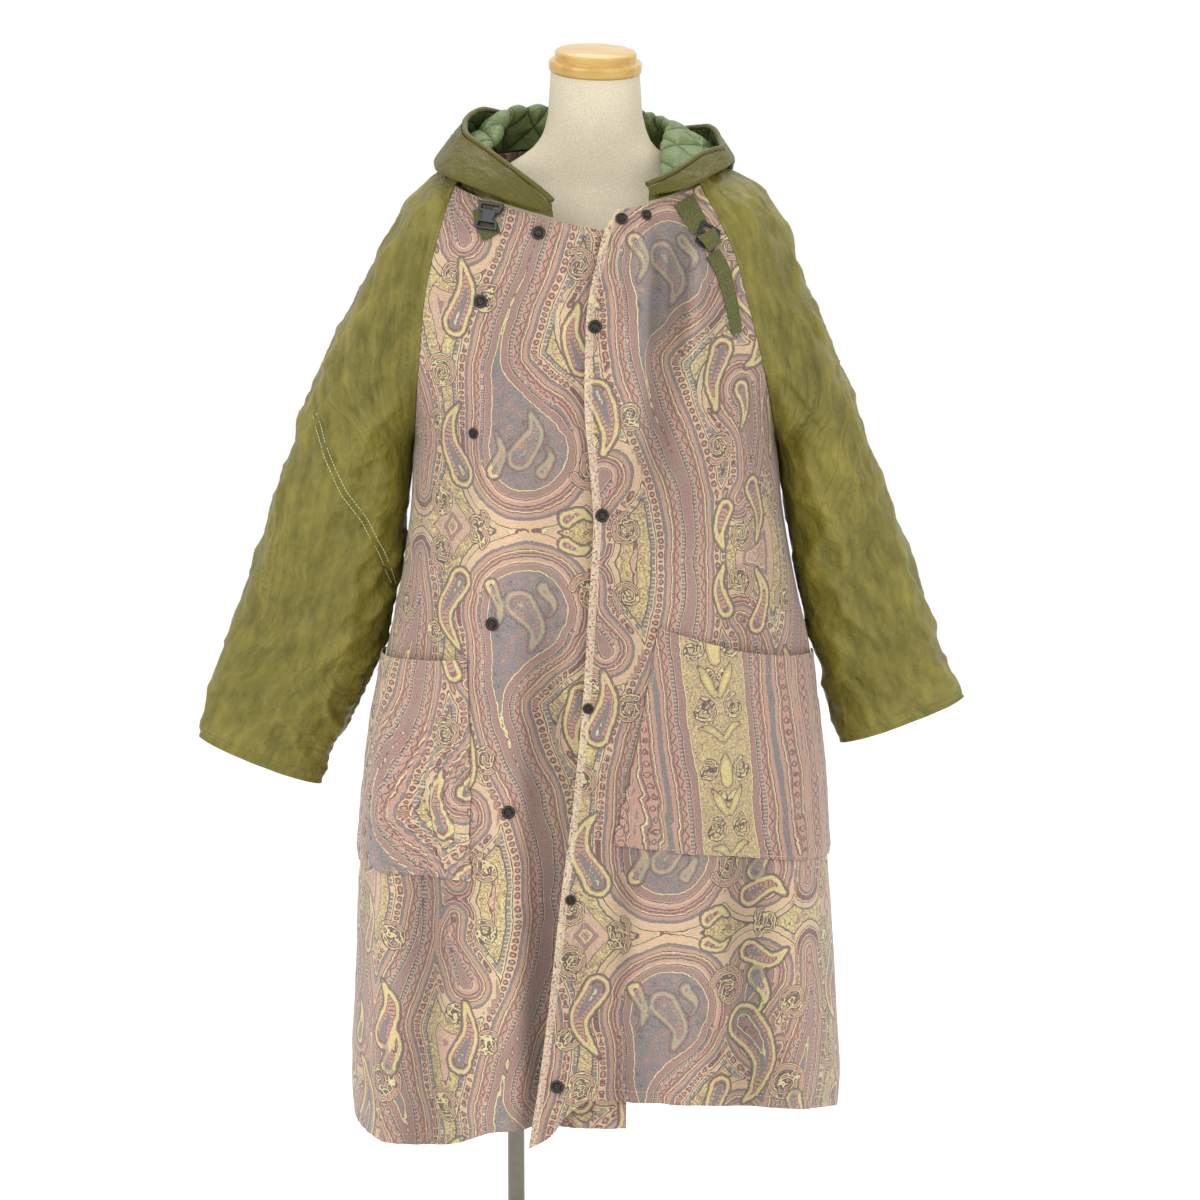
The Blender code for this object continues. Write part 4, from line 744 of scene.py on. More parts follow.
def hollow_radius(grid, normals):
    """Radius of the bend towards the normal at every point of a grid, widened over its neighbours."""
    normals = normals.reshape(grid.shape)
    radius = np.full(grid.shape[:2], 1e3)
    for axis in (0, 1):
        g = np.moveaxis(grid, axis, 0)
        n = np.moveaxis(normals, axis, 0)
        bend = ((g[2:] + g[:-2] - 2 * g[1:-1]) * n[1:-1]).sum(-1)
        reach = (np.linalg.norm(g[2:] - g[:-2], axis=-1) / 2) ** 2
        view = np.moveaxis(radius, axis, 0)
        view[1:-1] = np.minimum(view[1:-1], np.where(bend > 1e-6, reach / np.maximum(bend, 1e-6), 1e3))
    wide = radius.copy()
    wide[1:] = np.minimum(wide[1:], radius[:-1] + 3)
    wide[:-1] = np.minimum(wide[:-1], radius[1:] + 3)
    return wide


def triangles(quads):
    return np.concatenate([quads[:, [0, 1, 2]], quads[:, [0, 2, 3]]])


def pressed(base, normals, height, quads):
    """The heights of a padded face above its base, pressed flat where it would cross itself."""
    faces = triangles(quads)
    below = BVHTree.FromPolygons(base.tolist(), faces.tolist())
    height = height.copy()
    for _ in range(PRESSINGS):
        face = base + normals * height[:, None]
        above = BVHTree.FromPolygons(face.tolist(), faces.tolist())
        pairs = above.overlap(above) + above.overlap(below)
        tight = {v for a, b in pairs if not set(faces[a]) & set(faces[b]) for v in (*faces[a], *faces[b])}
        if not tight:
            break
        tight = np.array(sorted(tight))
        height[tight] = np.maximum(0.7 * height[tight], THINNEST)
    return height


def tube(name, line, radius, sides, material):
    """A closed bead along a line of points."""
    line = np.asarray(line, float)
    tangent = np.gradient(line, axis=0)
    tangent = unit(tangent)
    first = np.cross(tangent[0], (0, 0, 1))
    frame = first - tangent[0] * (first @ tangent[0])
    rings = []
    for point, along in zip(line, tangent):
        frame = unit(frame - along * (frame @ along))
        other = np.cross(along, frame)
        angle = np.arange(sides) * 2 * np.pi / sides
        rings.append(point + radius * (np.cos(angle)[:, None] * frame + np.sin(angle)[:, None] * other))
    return lathe_rings(name, rings, material)


def lathe_rings(name, rings, material, smooth=True):
    """A closed solid through rings of equal point counts, its ends filled with fans."""
    sides = len(rings[0])
    points = [p for ring in rings for p in ring]
    faces = []
    for r in range(len(rings) - 1):
        for k in range(sides):
            a, b = r * sides + k, r * sides + (k + 1) % sides
            faces.append((a, b, b + sides, a + sides))
    last = (len(rings) - 1) * sides
    points += [np.mean(rings[0], axis=0), np.mean(rings[-1], axis=0)]
    for k in range(sides):
        faces.append((len(points) - 2, (k + 1) % sides, k))
        faces.append((len(points) - 1, last + k, last + (k + 1) % sides))
    return new_object(name, np.array(points) * MM, faces, material, smooth)


# ------------------------------------------------------------------ the dress form and its stand
# height, middle x, middle y, half width, half depth
TORSO = (
    (800, -2, 6, 120, 92), (812, -2, 6, 150, 112), (850, -2, 6, 166, 122), (930, -2, 6, 170, 124),
    (1010, -2, 4, 150, 108), (1080, -2, 2, 132, 92), (1130, -2, 0, 130, 88), (1190, -2, -4, 140, 94),
    (1250, -2, -8, 152, 104), (1310, -2, -4, 158, 98), (1350, -2, 4, 160, 88), (1385, -2, 8, 156, 76),
    (1408, -2, 10, 146, 68), (1425, -2, 10, 133, 62), (1439, -2, 8, 118, 59), (1451, -3, 6, 102, 57),
    (1462, -3, 4, 84, 56), (1473, -3, 2, 70, 55), (1490, -2, 0, 60, 54.5), (1510, -2, -2, 55, 54),
)
CAP_TILT = 12.0
CAP_ROLL = 2.0
CAP_MIDDLE = (-2.0, -8.0, 1558.0)
# height above the cap's seat, radius
CAP_PROFILE = (
    (0, 52.5), (1.2, 54), (10, 54.5), (12.5, 53), (13.6, 48.6), (15.2, 47.8), (22, 47.6), (24, 45.5),
)
POLE = {"x": -100.0, "y": 0.0, "radius": 10.4, "bottom": 13.0, "top": 799.7}
FORM_SIDES = 112
BASE = {"radius": 190.0, "thickness": 12.0, "edge": 3.0}


def ellipse_ring(cx, cy, z, half, depth, sides, squareness=2.0):
    angle = np.arange(sides) * 2 * np.pi / sides
    x = cx + half * np.sign(np.cos(angle)) * np.abs(np.cos(angle)) ** (2 / squareness)
    y = cy + depth * np.sign(np.sin(angle)) * np.abs(np.sin(angle)) ** (2 / squareness)
    return np.stack([x, y, np.full(sides, float(z))], -1)


def tilt(points, middle):
    """Leans points over to the front and a little to the wearer's right."""
    a, b = np.radians(CAP_TILT), np.radians(CAP_ROLL)
    p = points - middle
    x, y, z = p.T
    y, z = y * np.cos(a) - z * np.sin(a), y * np.sin(a) + z * np.cos(a)
    x, z = x * np.cos(b) + z * np.sin(b), z * np.cos(b) - x * np.sin(b)
    return np.stack([x, y, z], -1) + middle


# ------------------------------------------------------------------ what lies on the fronts
# side, x, z, size
SNAPS = (
    ("right", -66, 1376, 1.0), ("right", -132, 1299, 1.0), ("right", -141, 1148, 0.8),
    ("right", -120, 932, 1.0), ("right", -102, 715, 1.0),
    ("left", 28, 1392, 0.9), ("left", 56, 1396, 0.8), ("left", -2, 1272, 1.0), ("left", 6, 1059, 1.0),
    ("left", -10, 838, 0.8), ("left", -30, 616, 0.8), ("left", -46, 397, 1.0),
)
SNAP_LIFT = 0.4               # of a snap's back above the cloth
# distance from the middle and height of a pocket's corners
POCKET_RIGHT = {"mouth": ((352, 876), (152, 888)), "foot": ((352, 624), (138, 631)), "sag": -3.0}
POCKET_LEFT = {"mouth": ((322, 880), (70, 930)), "foot": ((352, 626), (28, 680)), "sag": -14.0}
POCKET_LIFT = 3.6
POCKET_MOUTH = 4.0            # how far the mouth stands open
# straps: x, z, width and distance from the cloth at each point along the middle line
TAB_RIGHT = ((-130, 1402, 22, 0.9), (-128, 1392, 22, 0.9), (-124, 1381, 22, 0.9), (-119, 1371, 21, 0.9))
TAB_LEFT = ((98, 1412, 25, 0.9), (104, 1402, 24, 0.9), (112, 1388, 22, 0.9), (118, 1378, 20, 0.9))
LOOP_LEFT = ((121, 1374, 19, 6.6), (126, 1366, 19, 7.0), (131, 1358, 19, 6.4))
TAIL_LEFT = (
    (131, 1352, 18, 0.9), (142, 1334, 17, 0.9), (150, 1308, 15, 0.9), (156, 1280, 13, 0.9),
    (159, 1262, 11, 0.9),
)


def contour(grid, u, z):
    """The line at height z across a front: points and distances from the middle, side to edge."""
    points = np.empty((grid.shape[1], 3))
    distance = np.empty(grid.shape[1])
    for j in range(grid.shape[1]):
        height = grid[::-1, j, 2]
        for c in range(3):
            points[j, c] = np.interp(z, height, grid[::-1, j, c])
        distance[j] = np.interp(z, height, u[::-1, j])
    return points, distance


def on_front(grid, u, at, z, by_x=False):
    """The point of a front's face at height z, found by x or by its distance from the middle."""
    points, distance = contour(grid, u, z)
    key = np.abs(points[-1, 0] - points[:, 0]) * -1 if by_x else -distance
    want = -abs(points[-1, 0] - at) if by_x else -at
    return np.array([np.interp(want, key, points[:, 0]), np.interp(want, key, points[:, 1]), z])


def frame_on_front(grid, u, x, z):
    """A point of a front with its outward normal and the directions across and up the cloth."""
    middle = on_front(grid, u, x, z, True)
    across = on_front(grid, u, x + 6, z, True) - on_front(grid, u, x - 6, z, True)
    up = on_front(grid, u, x, z + 6, True) - on_front(grid, u, x, z - 6, True)
    normal, across = unit(np.cross(across, up)), unit(across)
    return middle, normal, across, np.cross(normal, across)


BUCKLE_RIGHT = {"at": (-121, 1394), "lean": 8.0, "low": 3.6, "high": 8.4}
BUCKLE_RIGHT_CELLS = ("#####", "#...#", "#####", ".###.", "#####", "#...#", "#####")
BUCKLE_RIGHT_ROWS = ((15, 15), (11.5, 15), (7, 14.5), (3, 12), (-5, 10), (-9, 13.5), (-14, 14.5), (-17, 13))
LOCK_LEFT = {"at": (124, 1370), "lean": 32.0, "low": 3.2, "high": 5.2}
LOCK_LEFT_CELLS = ("#####", "#...#", "#####", "#...#", "#####")
LOCK_LEFT_ROWS = ((16, 12.5), (12, 13.5), (4, 13.5), (0, 13.5), (-11, 13.5), (-15, 12.5))


# ------------------------------------------------------------------ finer grids and creases
FINE_CAP = 71
FINE_SKIRT = 180
FINE_FRONT = 96
FINE_BACK = 144
FINE_TUBE = 116
FINE_AROUND = 128
COAT_THICKNESS = 1.6
NYLON_THICKNESS = 0.9
# how far the rows of stitches run from the edges
EDGE_STITCHES = 7.0
PLACKET_STITCHES = 38.0
HEM_STITCHES = 13.0
NECK_STITCHES = 6.0
RAGLAN_STITCHES = 5.0
POCKET_STITCHES = 4.0
POCKET_MOUTH_STITCHES = 22.0
SLANT_STITCHES = 3.8          # each row of the slanting seam from its middle
# the same columns as the folds' tables
CREASES_RIGHT = (
    (20, 1360, 34, 1130, 9, -1.8), (46, 1370, 30, 1200, 8, 1.5), (92, 1372, 84, 1170, 11, -1.6),
    (150, 1330, 120, 1080, 13, 1.6), (178, 1240, 150, 1010, 12, -1.8), (196, 1120, 232, 940, 11, 1.6),
    (228, 1090, 266, 900, 10, -1.6), (30, 960, 22, 640, 14, 1.4), (96, 900, 104, 600, 12, -1.6),
    (300, 980, 296, 820, 12, 1.8), (130, 600, 142, 320, 14, 1.5), (250, 560, 244, 300, 12, -1.5),
    (180, 520, 186, 300, 11, 1.5), (300, 620, 306, 320, 13, 1.5),
)
CREASES_LEFT = (
    (70, 1418, 60, 1210, 7, -3.0), (82, 1420, 74, 1150, 7, 2.6), (104, 1424, 92, 1200, 8, -2.8),
    (120, 1424, 104, 1170, 8, 2.6), (42, 1404, 30, 1250, 7, -2.2), (26, 1398, 14, 1230, 7, 1.8),
    (140, 1390, 132, 1120, 12, -1.8), (170, 1240, 168, 1000, 12, 1.8), (196, 1100, 236, 930, 11, -1.8),
    (44, 1180, 34, 900, 9, -2.0), (8, 1200, 0, 960, 8, 1.2), (60, 760, 40, 420, 11, 2.0),
    (120, 620, 124, 330, 14, -1.6), (206, 560, 214, 320, 13, 1.6), (278, 600, 282, 340, 13, -1.6),
    (6, 560, -16, 330, 8, -1.6), (34, 520, 10, 330, 8, 1.8), (300, 960, 296, 800, 12, 1.8),
)
CREASES_BACK = (
    (-150, 1380, -120, 1150, 16, 2.2), (-90, 1430, -70, 1200, 14, -2.0), (-30, 1440, -20, 1180, 16, 2.0),
    (60, 1430, 50, 1210, 14, -2.0), (120, 1400, 100, 1160, 16, 2.2), (-230, 1080, -200, 880, 12, -2.2),
    (220, 1080, 196, 860, 12, 2.2), (-90, 960, -100, 600, 16, 2.2), (0, 920, 4, 520, 16, -2.2),
    (84, 900, 92, 560, 15, 2.0), (-170, 700, -178, 300, 15, -2.2), (160, 700, 170, 300, 15, 2.2),
    (-20, 560, -24, 300, 14, 2.0), (250, 640, 258, 320, 13, -2.0), (-260, 640, -266, 320, 13, 2.0),
)
CREASES_SLEEVE_RIGHT = (
    (0.6, 110, 4.6, 92, 9, -3.4), (0.8, 146, 5.2, 134, 8, 2.6), (0.4, 170, 3.8, 178, 9, -2.2),
    (4.2, 70, 6.8, 104, 8, -3.6), (5.0, 62, 7.6, 84, 7, 3.0), (6.2, 120, 8.8, 148, 9, -3.0),
    (7.2, 60, 9.4, 98, 8, -3.6), (8.0, 40, 10.2, 80, 8, 3.4), (8.6, 118, 10.4, 152, 9, 2.8),
    (9.2, 30, 11.4, 66, 8, -3.6), (10.0, 78, 11.8, 120, 8, -3.2), (10.6, 40, 12.6, 96, 8, 3.0),
    (11.4, 110, 13.2, 76, 8, -2.8), (12.0, 52, 13.6, 30, 9, -2.6), (12.6, 128, 14.6, 104, 8, 2.4),
    (13.4, 70, 15.2, 92, 9, -2.0), (3.0, 200, 6.5, 232, 12, -3.0), (6.0, 250, 9.0, 214, 11, 3.0),
    (8.0, 300, 11.0, 262, 11, -3.2), (10.5, 240, 13.5, 280, 11, 2.8), (12.5, 300, 15.0, 262, 10, -2.4),
    (5.6, 150, 7.8, 172, 9, 2.4), (9.8, 160, 12.2, 176, 9, -2.4),
)
CREASES_SLEEVE_LEFT = (
    (0.4, 96, 4.0, 84, 8, -3.2), (0.6, 122, 4.8, 104, 8, 2.8), (0.8, 150, 5.4, 140, 8, -3.0),
    (1.2, 176, 4.8, 186, 9, 2.0), (4.4, 72, 7.2, 92, 8, -3.4), (5.4, 118, 8.0, 96, 8, 2.8),
    (6.4, 58, 8.8, 74, 8, 3.0), (7.2, 130, 9.8, 112, 8, -3.2), (8.2, 50, 10.4, 88, 8, -3.2),
    (9.0, 148, 11.0, 128, 8, 2.6), (9.8, 60, 11.6, 98, 8, 3.0), (10.6, 120, 12.4, 90, 8, -3.0),
    (11.6, 46, 13.2, 80, 8, -2.8), (12.4, 130, 14.2, 112, 8, 2.4), (13.2, 60, 14.8, 86, 8, 2.0),
    (3.0, 200, 6.5, 232, 12, -3.0), (6.0, 250, 9.0, 214, 11, 3.0), (8.0, 300, 11.0, 262, 11, -3.2),
    (10.0, 240, 13.0, 280, 11, 2.8), (12.0, 300, 14.4, 262, 10, -2.4), (5.0, 164, 7.6, 178, 9, 2.2),
)


CREASES = {"right": CREASES_RIGHT, "left": CREASES_LEFT, "back": CREASES_BACK}
SLEEVE_CREASES = {"right": CREASES_SLEEVE_RIGHT, "left": CREASES_SLEEVE_LEFT}
SLEEVE_DEPTH = 1.25           # how much deeper the sleeves' folds are than their tables say


def crumple(points, size, seed):
    """Small uneven wrinkles, about -1 to 1, at points in millimetres."""
    shift = Vector((seed * 7.3, seed * 3.1, seed * 5.7))
    heights = [noise.noise(Vector(p) / size + shift) for p in points.reshape(-1, 3)]
    return np.array(heights).reshape(points.shape[:-1])


def ridged(points, size, seed):
    """Sharp crossing wrinkles between flats, 0 to 1."""
    return 1 - np.minimum(1, 4.5 * np.abs(crumple(points, size, seed)))


# how far the wrinkles of a piece are let down, and their kind, height, stretch along z, size and seed
WRINKLES = {
    "front": (0.4, ((crumple, 1.8, 0.5, 70, 1), (crumple, 1.0, 1, 26, 2), (ridged, 0.9, 0.45, 74, 16))),
    "back": (0.6, ((crumple, 2.2, 0.4, 80, 3), (crumple, 1.0, 1, 26, 4), (ridged, 1.6, 0.45, 84, 17))),
    "sleeve": (2.0, (
        (crumple, 2.6, 1, 46, 5), (ridged, 3.6, 0.8, 66, 6), (ridged, 2.2, 1, 36, 7),
        (crumple, 1.1, 1, 17, 8),
    )),
}


def wrinkles(grid, piece):
    let_down, kinds = WRINKLES[piece]
    total = 0.0
    for kind, height, stretch, size, seed in kinds:
        total = total + height * kind(grid * (1, 1, stretch), size, seed)
    return total - let_down


def bell(distance, width):
    """1 at a line, falling away on both sides."""
    return np.exp(-(distance / width) ** 2)


def sewn_edges(grid, u, edge=None):
    """Dips at the stitched lines along the hem and the free edge, with the puckers that they draw."""
    drop = grid[..., 2] - grid[-1:, :, 2]
    height = -0.9 * bell(drop - HEM_STITCHES, 3.5)
    height += 0.8 * np.sin(u * 2 * np.pi / 19 + 4 * crumple(grid, 40, 14)) * bell(drop - 9, 12)
    if edge is not None:
        away = np.abs(u - edge)
        height -= 0.9 * bell(away - EDGE_STITCHES, 2.5) + 0.7 * bell(away - PLACKET_STITCHES, 3.5)
        pucker = np.sin(grid[..., 2] * 2 * np.pi / 21 + 4 * crumple(grid, 40, 15))
        height += 0.6 * pucker * bell(away - 20, 14)
    return height


def fine_front(side):
    """A front's sheet and each point's distance from the middle."""
    grid, u = front_grid(side, FINE_CAP, FINE_SKIRT, FINE_FRONT)
    height = fold_height(FOLDS[side] + CREASES[side], u, grid[..., 2], "drop")
    if side == "left":
        height = height * (1 + 0.8 * step(1140, 1300, grid[..., 2]))
    height += wrinkles(grid, "front")
    height += sewn_edges(grid, u, u[:, -1:])
    grid = raised(grid, side == "left", height * free_share(FINE_FRONT))
    sheet = Sheet("cloth_front_" + side, grid, COAT_THICKNESS, side == "left")
    sheet.rise = height.reshape(-1)
    return sheet, u


def fine_back():
    grid, u = back_grid(FINE_CAP, FINE_SKIRT, FINE_BACK)
    share = np.linspace(0, 1, grid.shape[1])[None, :]
    fade = seam_fade(share) * seam_fade(1 - share)
    height = fold_height(FOLDS["back"] + CREASES["back"], u, grid[..., 2], "drop")
    height += wrinkles(grid, "back")
    height += sewn_edges(grid, u)
    sheet = Sheet("cloth_back", raised(grid, True, height * fade), COAT_THICKNESS, True)
    sheet.rise = height.reshape(-1)
    return sheet, u


# x and z of the slanting double-stitched seam and of the seam below it on the right sleeve's front
SLANT_SEAM = ((-330, 1163), (-315, 1116), (-296, 1070), (-274, 1039), (-254, 994), (-241, 948))
LOWER_SEAM = ((-244, 924), (-264, 878), (-282, 830), (-301, 775), (-317, 732))


def seam_path(grid, normals, path):
    """The points and normals of a line given in x and z on the front of a sleeve."""
    path = resample_line(np.array(path, float), 5.0)
    facing = normals[..., 1] < -0.1
    points, ups = grid[facing], normals[facing]
    line, up = [], []
    for x, z in path:
        away = np.hypot(points[:, 0] - x, points[:, 2] - z)
        near = np.argsort(away)[:6]
        weight = 1 / (away[near] + 1.0)
        weight /= weight.sum()
        line.append((x, float(weight @ points[near, 1]), z))
        up.append(weight @ ups[near])
    line, up = np.array(line), np.array(up)
    for _ in range(3):
        line[1:-1, 1] = (line[:-2, 1] + 2 * line[1:-1, 1] + line[2:, 1]) / 4
    return line, unit(up)


def away_from(points, line, pitch=1.5):
    """Each point's distance from a line's nearest point and the way along the line there."""
    best, along = np.full(points.shape[:-1], 1e3), np.zeros(points.shape[:-1])
    for i, at in enumerate(resample_line(line, pitch)):
        away = np.linalg.norm(points - at, axis=-1)
        along = np.where(away < best, i * pitch, along)
        best = np.minimum(best, away)
    return best, along


def fine_sleeve(side):
    last = LAST_STATION[side]
    grid, angles, stations, free = sleeve_rings(side, FINE_CAP, FINE_TUBE, FINE_AROUND)
    flip = side == "right"
    folds = SLEEVE_FOLDS[side] + SLEEVE_CREASES[side]
    height = SLEEVE_DEPTH * (fold_height(folds, angles, stations[:, None] + 0 * angles, "along") * free)
    calm = step(last, last - 1.2, stations)[:, None] * 0.8 + 0.2
    height += wrinkles(grid, "sleeve") * calm * free
    height[:, -1] = height[:, 0]
    hem = step(last - 0.5, last - 0.28, stations) * step(last - 0.02, last - 0.24, stations)
    height -= hem[:, None]
    normals = grid_normals(grid, flip)
    if side == "right":
        moved = grid + normals * height[..., None]
        for path, depth, width in ((SLANT_SEAM, 2.2, 5.0), (LOWER_SEAM, 1.8, 3.0)):
            away, along = away_from(moved, seam_path(moved, normals, path)[0])
            pucker = 0.5 + 0.5 * np.sin(along * 2 * np.pi / 13 + 2 * crumple(moved, 30, 9))
            height -= depth * bell(away, width)
            height += 1.6 * pucker * bell(away - 12, 7)
        height[:, -1] = height[:, 0]
    grid = grid + normals * height[..., None]
    grid[FINE_CAP - 1:, -1] = grid[FINE_CAP - 1:, 0]
    index = np.arange(grid.shape[0] * grid.shape[1]).reshape(grid.shape[:2])
    index[FINE_CAP - 1:, -1] = index[FINE_CAP - 1:, 0]
    sheet = Sheet("cloth_sleeve_" + side, grid, NYLON_THICKNESS, flip, index)
    sheet.rise = height.reshape(-1)[sheet.used]
    return sheet


# ------------------------------------------------------------------ making objects
def new_object(name, points, faces, material, smooth=True, angle=50):
    mesh = bpy.data.meshes.new(name)
    mesh.from_pydata([tuple(map(float, p)) for p in points], [], [tuple(map(int, f)) for f in faces])
    mesh.validate()
    if smooth:
        mesh.shade_smooth()
        mesh.set_sharp_from_angle(angle=np.radians(angle))
    obj = bpy.data.objects.new(name, mesh)
    obj.data.materials.append(material)
    bpy.context.scene.collection.objects.link(obj)
    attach(obj, "root")
    return obj


def give(obj, name, values):
    """Stores one number for each vertex; a wall's inner face takes its outer face's numbers."""
    values = np.asarray(values, np.float32).reshape(-1)
    values = np.tile(values, len(obj.data.vertices) // len(values))
    obj.data.attributes.new(name, "FLOAT", "POINT").data.foreach_set("value", values)


def sheet_wall(sheet, material):
    inner = sheet.points - sheet.normals * sheet.thickness[:, None]
    return wall(sheet.name, sheet.points, inner, sheet.quads, material)


# ------------------------------------------------------------------ the paisley
# Spines in millimetres on the flat cloth: across, up, half width. They are mirrored at both ends of
# the repeat's height and repeated across its width.
REPEAT_WIDTH = 340.0
REPEAT_HEIGHT = 430.0
GREAT_SPINES = (
    ((0, 92, 70), (-18, 140, 45), (-33, 190, 28), (-20, 248, 24), (4, 304, 23), (20, 358, 22),
     (24, 400, 20), (22, 430, 18)),
    ((-134, 430, 15), (-140, 380, 17), (-160, 330, 20), (-184, 270, 24), (-180, 212, 30),
     (-160, 150, 25), (-150, 92, 15), (-155, 42, 8)),
    ((-226, 62, 34), (-244, 104, 22), (-236, 142, 14), (-216, 162, 9), (-200, 150, 5)),
    ((-74, 330, 22), (-96, 372, 14), (-90, 408, 7)),
    ((88, 236, 30), (112, 290, 20), (106, 340, 11), (88, 362, 6)),
)
LEAF_SPINES = (
    ((-84, 62, 17), (-103, 94, 13), (-97, 124, 8), (-82, 142, 3)),
    ((-84, 236, 17), (-70, 272, 12), (-76, 304, 5)),
    ((62, 190, 15), (50, 226, 11), (58, 258, 4)),
    ((112, 352, 13), (126, 384, 9), (116, 412, 4)),
    ((104, 34, 15), (130, 46, 10), (148, 34, 4)),
    ((70, 372, 12), (60, 400, 8), (66, 420, 4)),
    ((96, 116, 25), (120, 158, 17), (110, 198, 9), (94, 212, 4)),
    ((-8, 84, 17), (10, 112, 11), (4, 136, 4)),
    ((18, 66, 8), (30, 84, 5), (24, 98, 2)),
    ((-40, 66, 9), (-30, 92, 6), (-38, 112, 2)),
    ((-228, 62, 12), (-216, 84, 7), (-222, 102, 3)),
    ((88, 236, 11), (98, 262, 7), (92, 284, 3)),
    ((-180, 214, 11), (-172, 244, 8), (-178, 270, 3)),
    ((150, 250, 16), (164, 288, 11), (154, 320, 4)),
    ((44, 14, 10), (62, 22, 7), (74, 14, 3)),
)
# centre, outer radius, turns, start angle, turning way, half width
SCROLLS = (
    (74, 72, 21, 1.7, 200, 1, 3.4), (148, 196, 22, 1.8, 20, -1, 3.6), (-112, 30, 18, 1.6, 90, 1, 3.2),
    (-104, 178, 19, 1.7, 160, -1, 3.4), (90, 404, 17, 1.6, 300, 1, 3.0), (160, 96, 19, 1.7, 30, 1, 3.4),
    (-48, 392, 16, 1.5, 250, -1, 3.0), (60, 300, 17, 1.6, 120, -1, 3.0), (-120, 120, 13, 1.4, 0, 1, 2.6),
    (-46, 262, 14, 1.5, 60, 1, 2.8), (166, 372, 17, 1.6, 190, -1, 3.0), (-90, 290, 12, 1.4, 330, 1, 2.6),
    (124, 4, 12, 1.4, 120, 1, 2.6), (-60, 8, 12, 1.4, 60, -1, 2.6),
)
STRIPE_SPINES = (
    ((0, 0, 60), (0, 430, 60)), ((-88, 0, 7), (-88, 430, 7)), ((88, 0, 7), (88, 430, 7)),
    ((-120, 0, 9), (-120, 430, 9)), ((120, 0, 9), (120, 430, 9)), ((-152, 0, 6), (-152, 430, 6)),
    ((152, 0, 6), (152, 430, 6)),
)
STRIPE_BASES = (10, 152, 294)
STRIPE_LEAF_SHAPES = (
    ((3, 58, 3), (12, 76, 5), (20, 92, 1)), ((0, 98, 7), (3, 116, 5), (0, 132, 1)), ((2, 8, 3),
     (14, 20, 4), (26, 22, 1)),
)
STRIPE_LEAVES = tuple(
    tuple((side * x, up + base, r) for x, up, r in leaf)
    for base in STRIPE_BASES for side in (-1, 1) for leaf in STRIPE_LEAF_SHAPES
)
STRIPE_SCROLLS = tuple(
    (side * x, up + base, r, 1.4, 90, side, 1.7)
    for base in STRIPE_BASES for side in (-1, 1) for x, up, r in ((20, 42, 13), (24, 112, 12), (11, 78, 7))
)
PAINTED = {
    "paisley": (GREAT_SPINES, LEAF_SPINES, SCROLLS),
    "stripes": (STRIPE_SPINES, STRIPE_LEAVES, STRIPE_SCROLLS),
}


def smooth_spine(points, parts=8):
    """A curve through a spine's points, with its half widths."""
    p = extended(np.array(points, float))
    t = np.linspace(0, 1, parts, endpoint=False)[:, None]
    pieces = [curve_between(a, b, c, d, t) for a, b, c, d in zip(p[:-3], p[1:-2], p[2:-1], p[3:])]
    curve = np.vstack(pieces + [p[-2:-1]])
    curve[:, 2] = np.maximum(curve[:, 2], 0.5)
    return curve


def scroll_spine(x, y, radius, turns, start, way, width):
    t = np.linspace(0, 1, int(26 * turns))
    angle = np.radians(start) + way * 2 * np.pi * turns * t
    r = radius * (1 - t) ** 0.9 + 1.5
    return np.stack([x + r * np.cos(angle), y + r * np.sin(angle), width * (1.15 - 0.55 * t)], -1)


def outline_distance(across, up, spines):
    """Distance outside the nearest spine's outline, minus inside, and the way along that spine."""
    fold = np.abs((up + REPEAT_HEIGHT) % (2 * REPEAT_HEIGHT) - REPEAT_HEIGHT)
    x = (across + REPEAT_WIDTH / 2) % REPEAT_WIDTH - REPEAT_WIDTH / 2
    best = np.full(x.shape, 1e3)
    along = np.zeros(x.shape)
    for spine in spines:
        walked = 0.0
        for (ax, ay, ar), (bx, by, br) in zip(spine[:-1], spine[1:]):
            length = np.hypot(bx - ax, by - ay)
            if length < 1e-6:
                continue
            near = np.round((x - ax) / REPEAT_WIDTH) * REPEAT_WIDTH
            px, py = x - near - ax, fold - ay
            t = np.clip((px * (bx - ax) + py * (by - ay)) / length ** 2, 0, 1)
            distance = np.hypot(px - t * (bx - ax), py - t * (by - ay)) - (ar + t * (br - ar))
            closer = distance < best
            best = np.where(closer, distance, best)
            along = np.where(closer, walked + t * length, along)
            walked += length
    return best, along


def paint_cloth(obj, across, up, style="paisley", edge=100.0, tone=1.0, rise=0.0):
    """Gives a cloth piece the distances that its material weaves the pattern from."""
    great, leaves, scrolls = PAINTED[style]
    across, up = np.asarray(across, float).reshape(-1), np.asarray(up, float).reshape(-1)
    points = np.stack([across, up, 0 * up], -1)
    across = across + 3.0 * crumple(points, 34, 11)
    up = up + 3.0 * crumple(points, 34, 12)
    for number, spines in ((1, [smooth_spine(s) for s in great]), (2, [smooth_spine(s) for s in leaves]),
                           (3, [scroll_spine(*s) for s in scrolls])):
        distance, along = outline_distance(across, up, spines)
        give(obj, "d%d" % number, distance)
        give(obj, "s%d" % number, along)
    # rise is the folds' height; the materials paint shade in the troughs and light on the ridges from it
    for name, values in (("flat_x", across), ("flat_y", up), ("edge", edge), ("tone", tone),
                         ("bright", float(style == "stripes")), ("rise", rise)):
        give(obj, name, np.asarray(values, float).reshape(-1) + 0 * across)


# ------------------------------------------------------------------ materials
def rgb(red, green, blue):
    """A screen colour, 0 to 255, as the linear colour that the shaders take."""
    c = np.array((red, green, blue)) / 255
    c = np.where(c <= 0.04045, c / 12.92, ((c + 0.055) / 1.055) ** 2.4)
    return (*map(float, c), 1.0)


def operator(operation, swapped=False):
    """A method that makes a Math node of a value and another one, or of the other one and the value."""
    def method(value, other=0.0):
        return value.web.math(operation, *((other, value) if swapped else (value, other)))
    return method


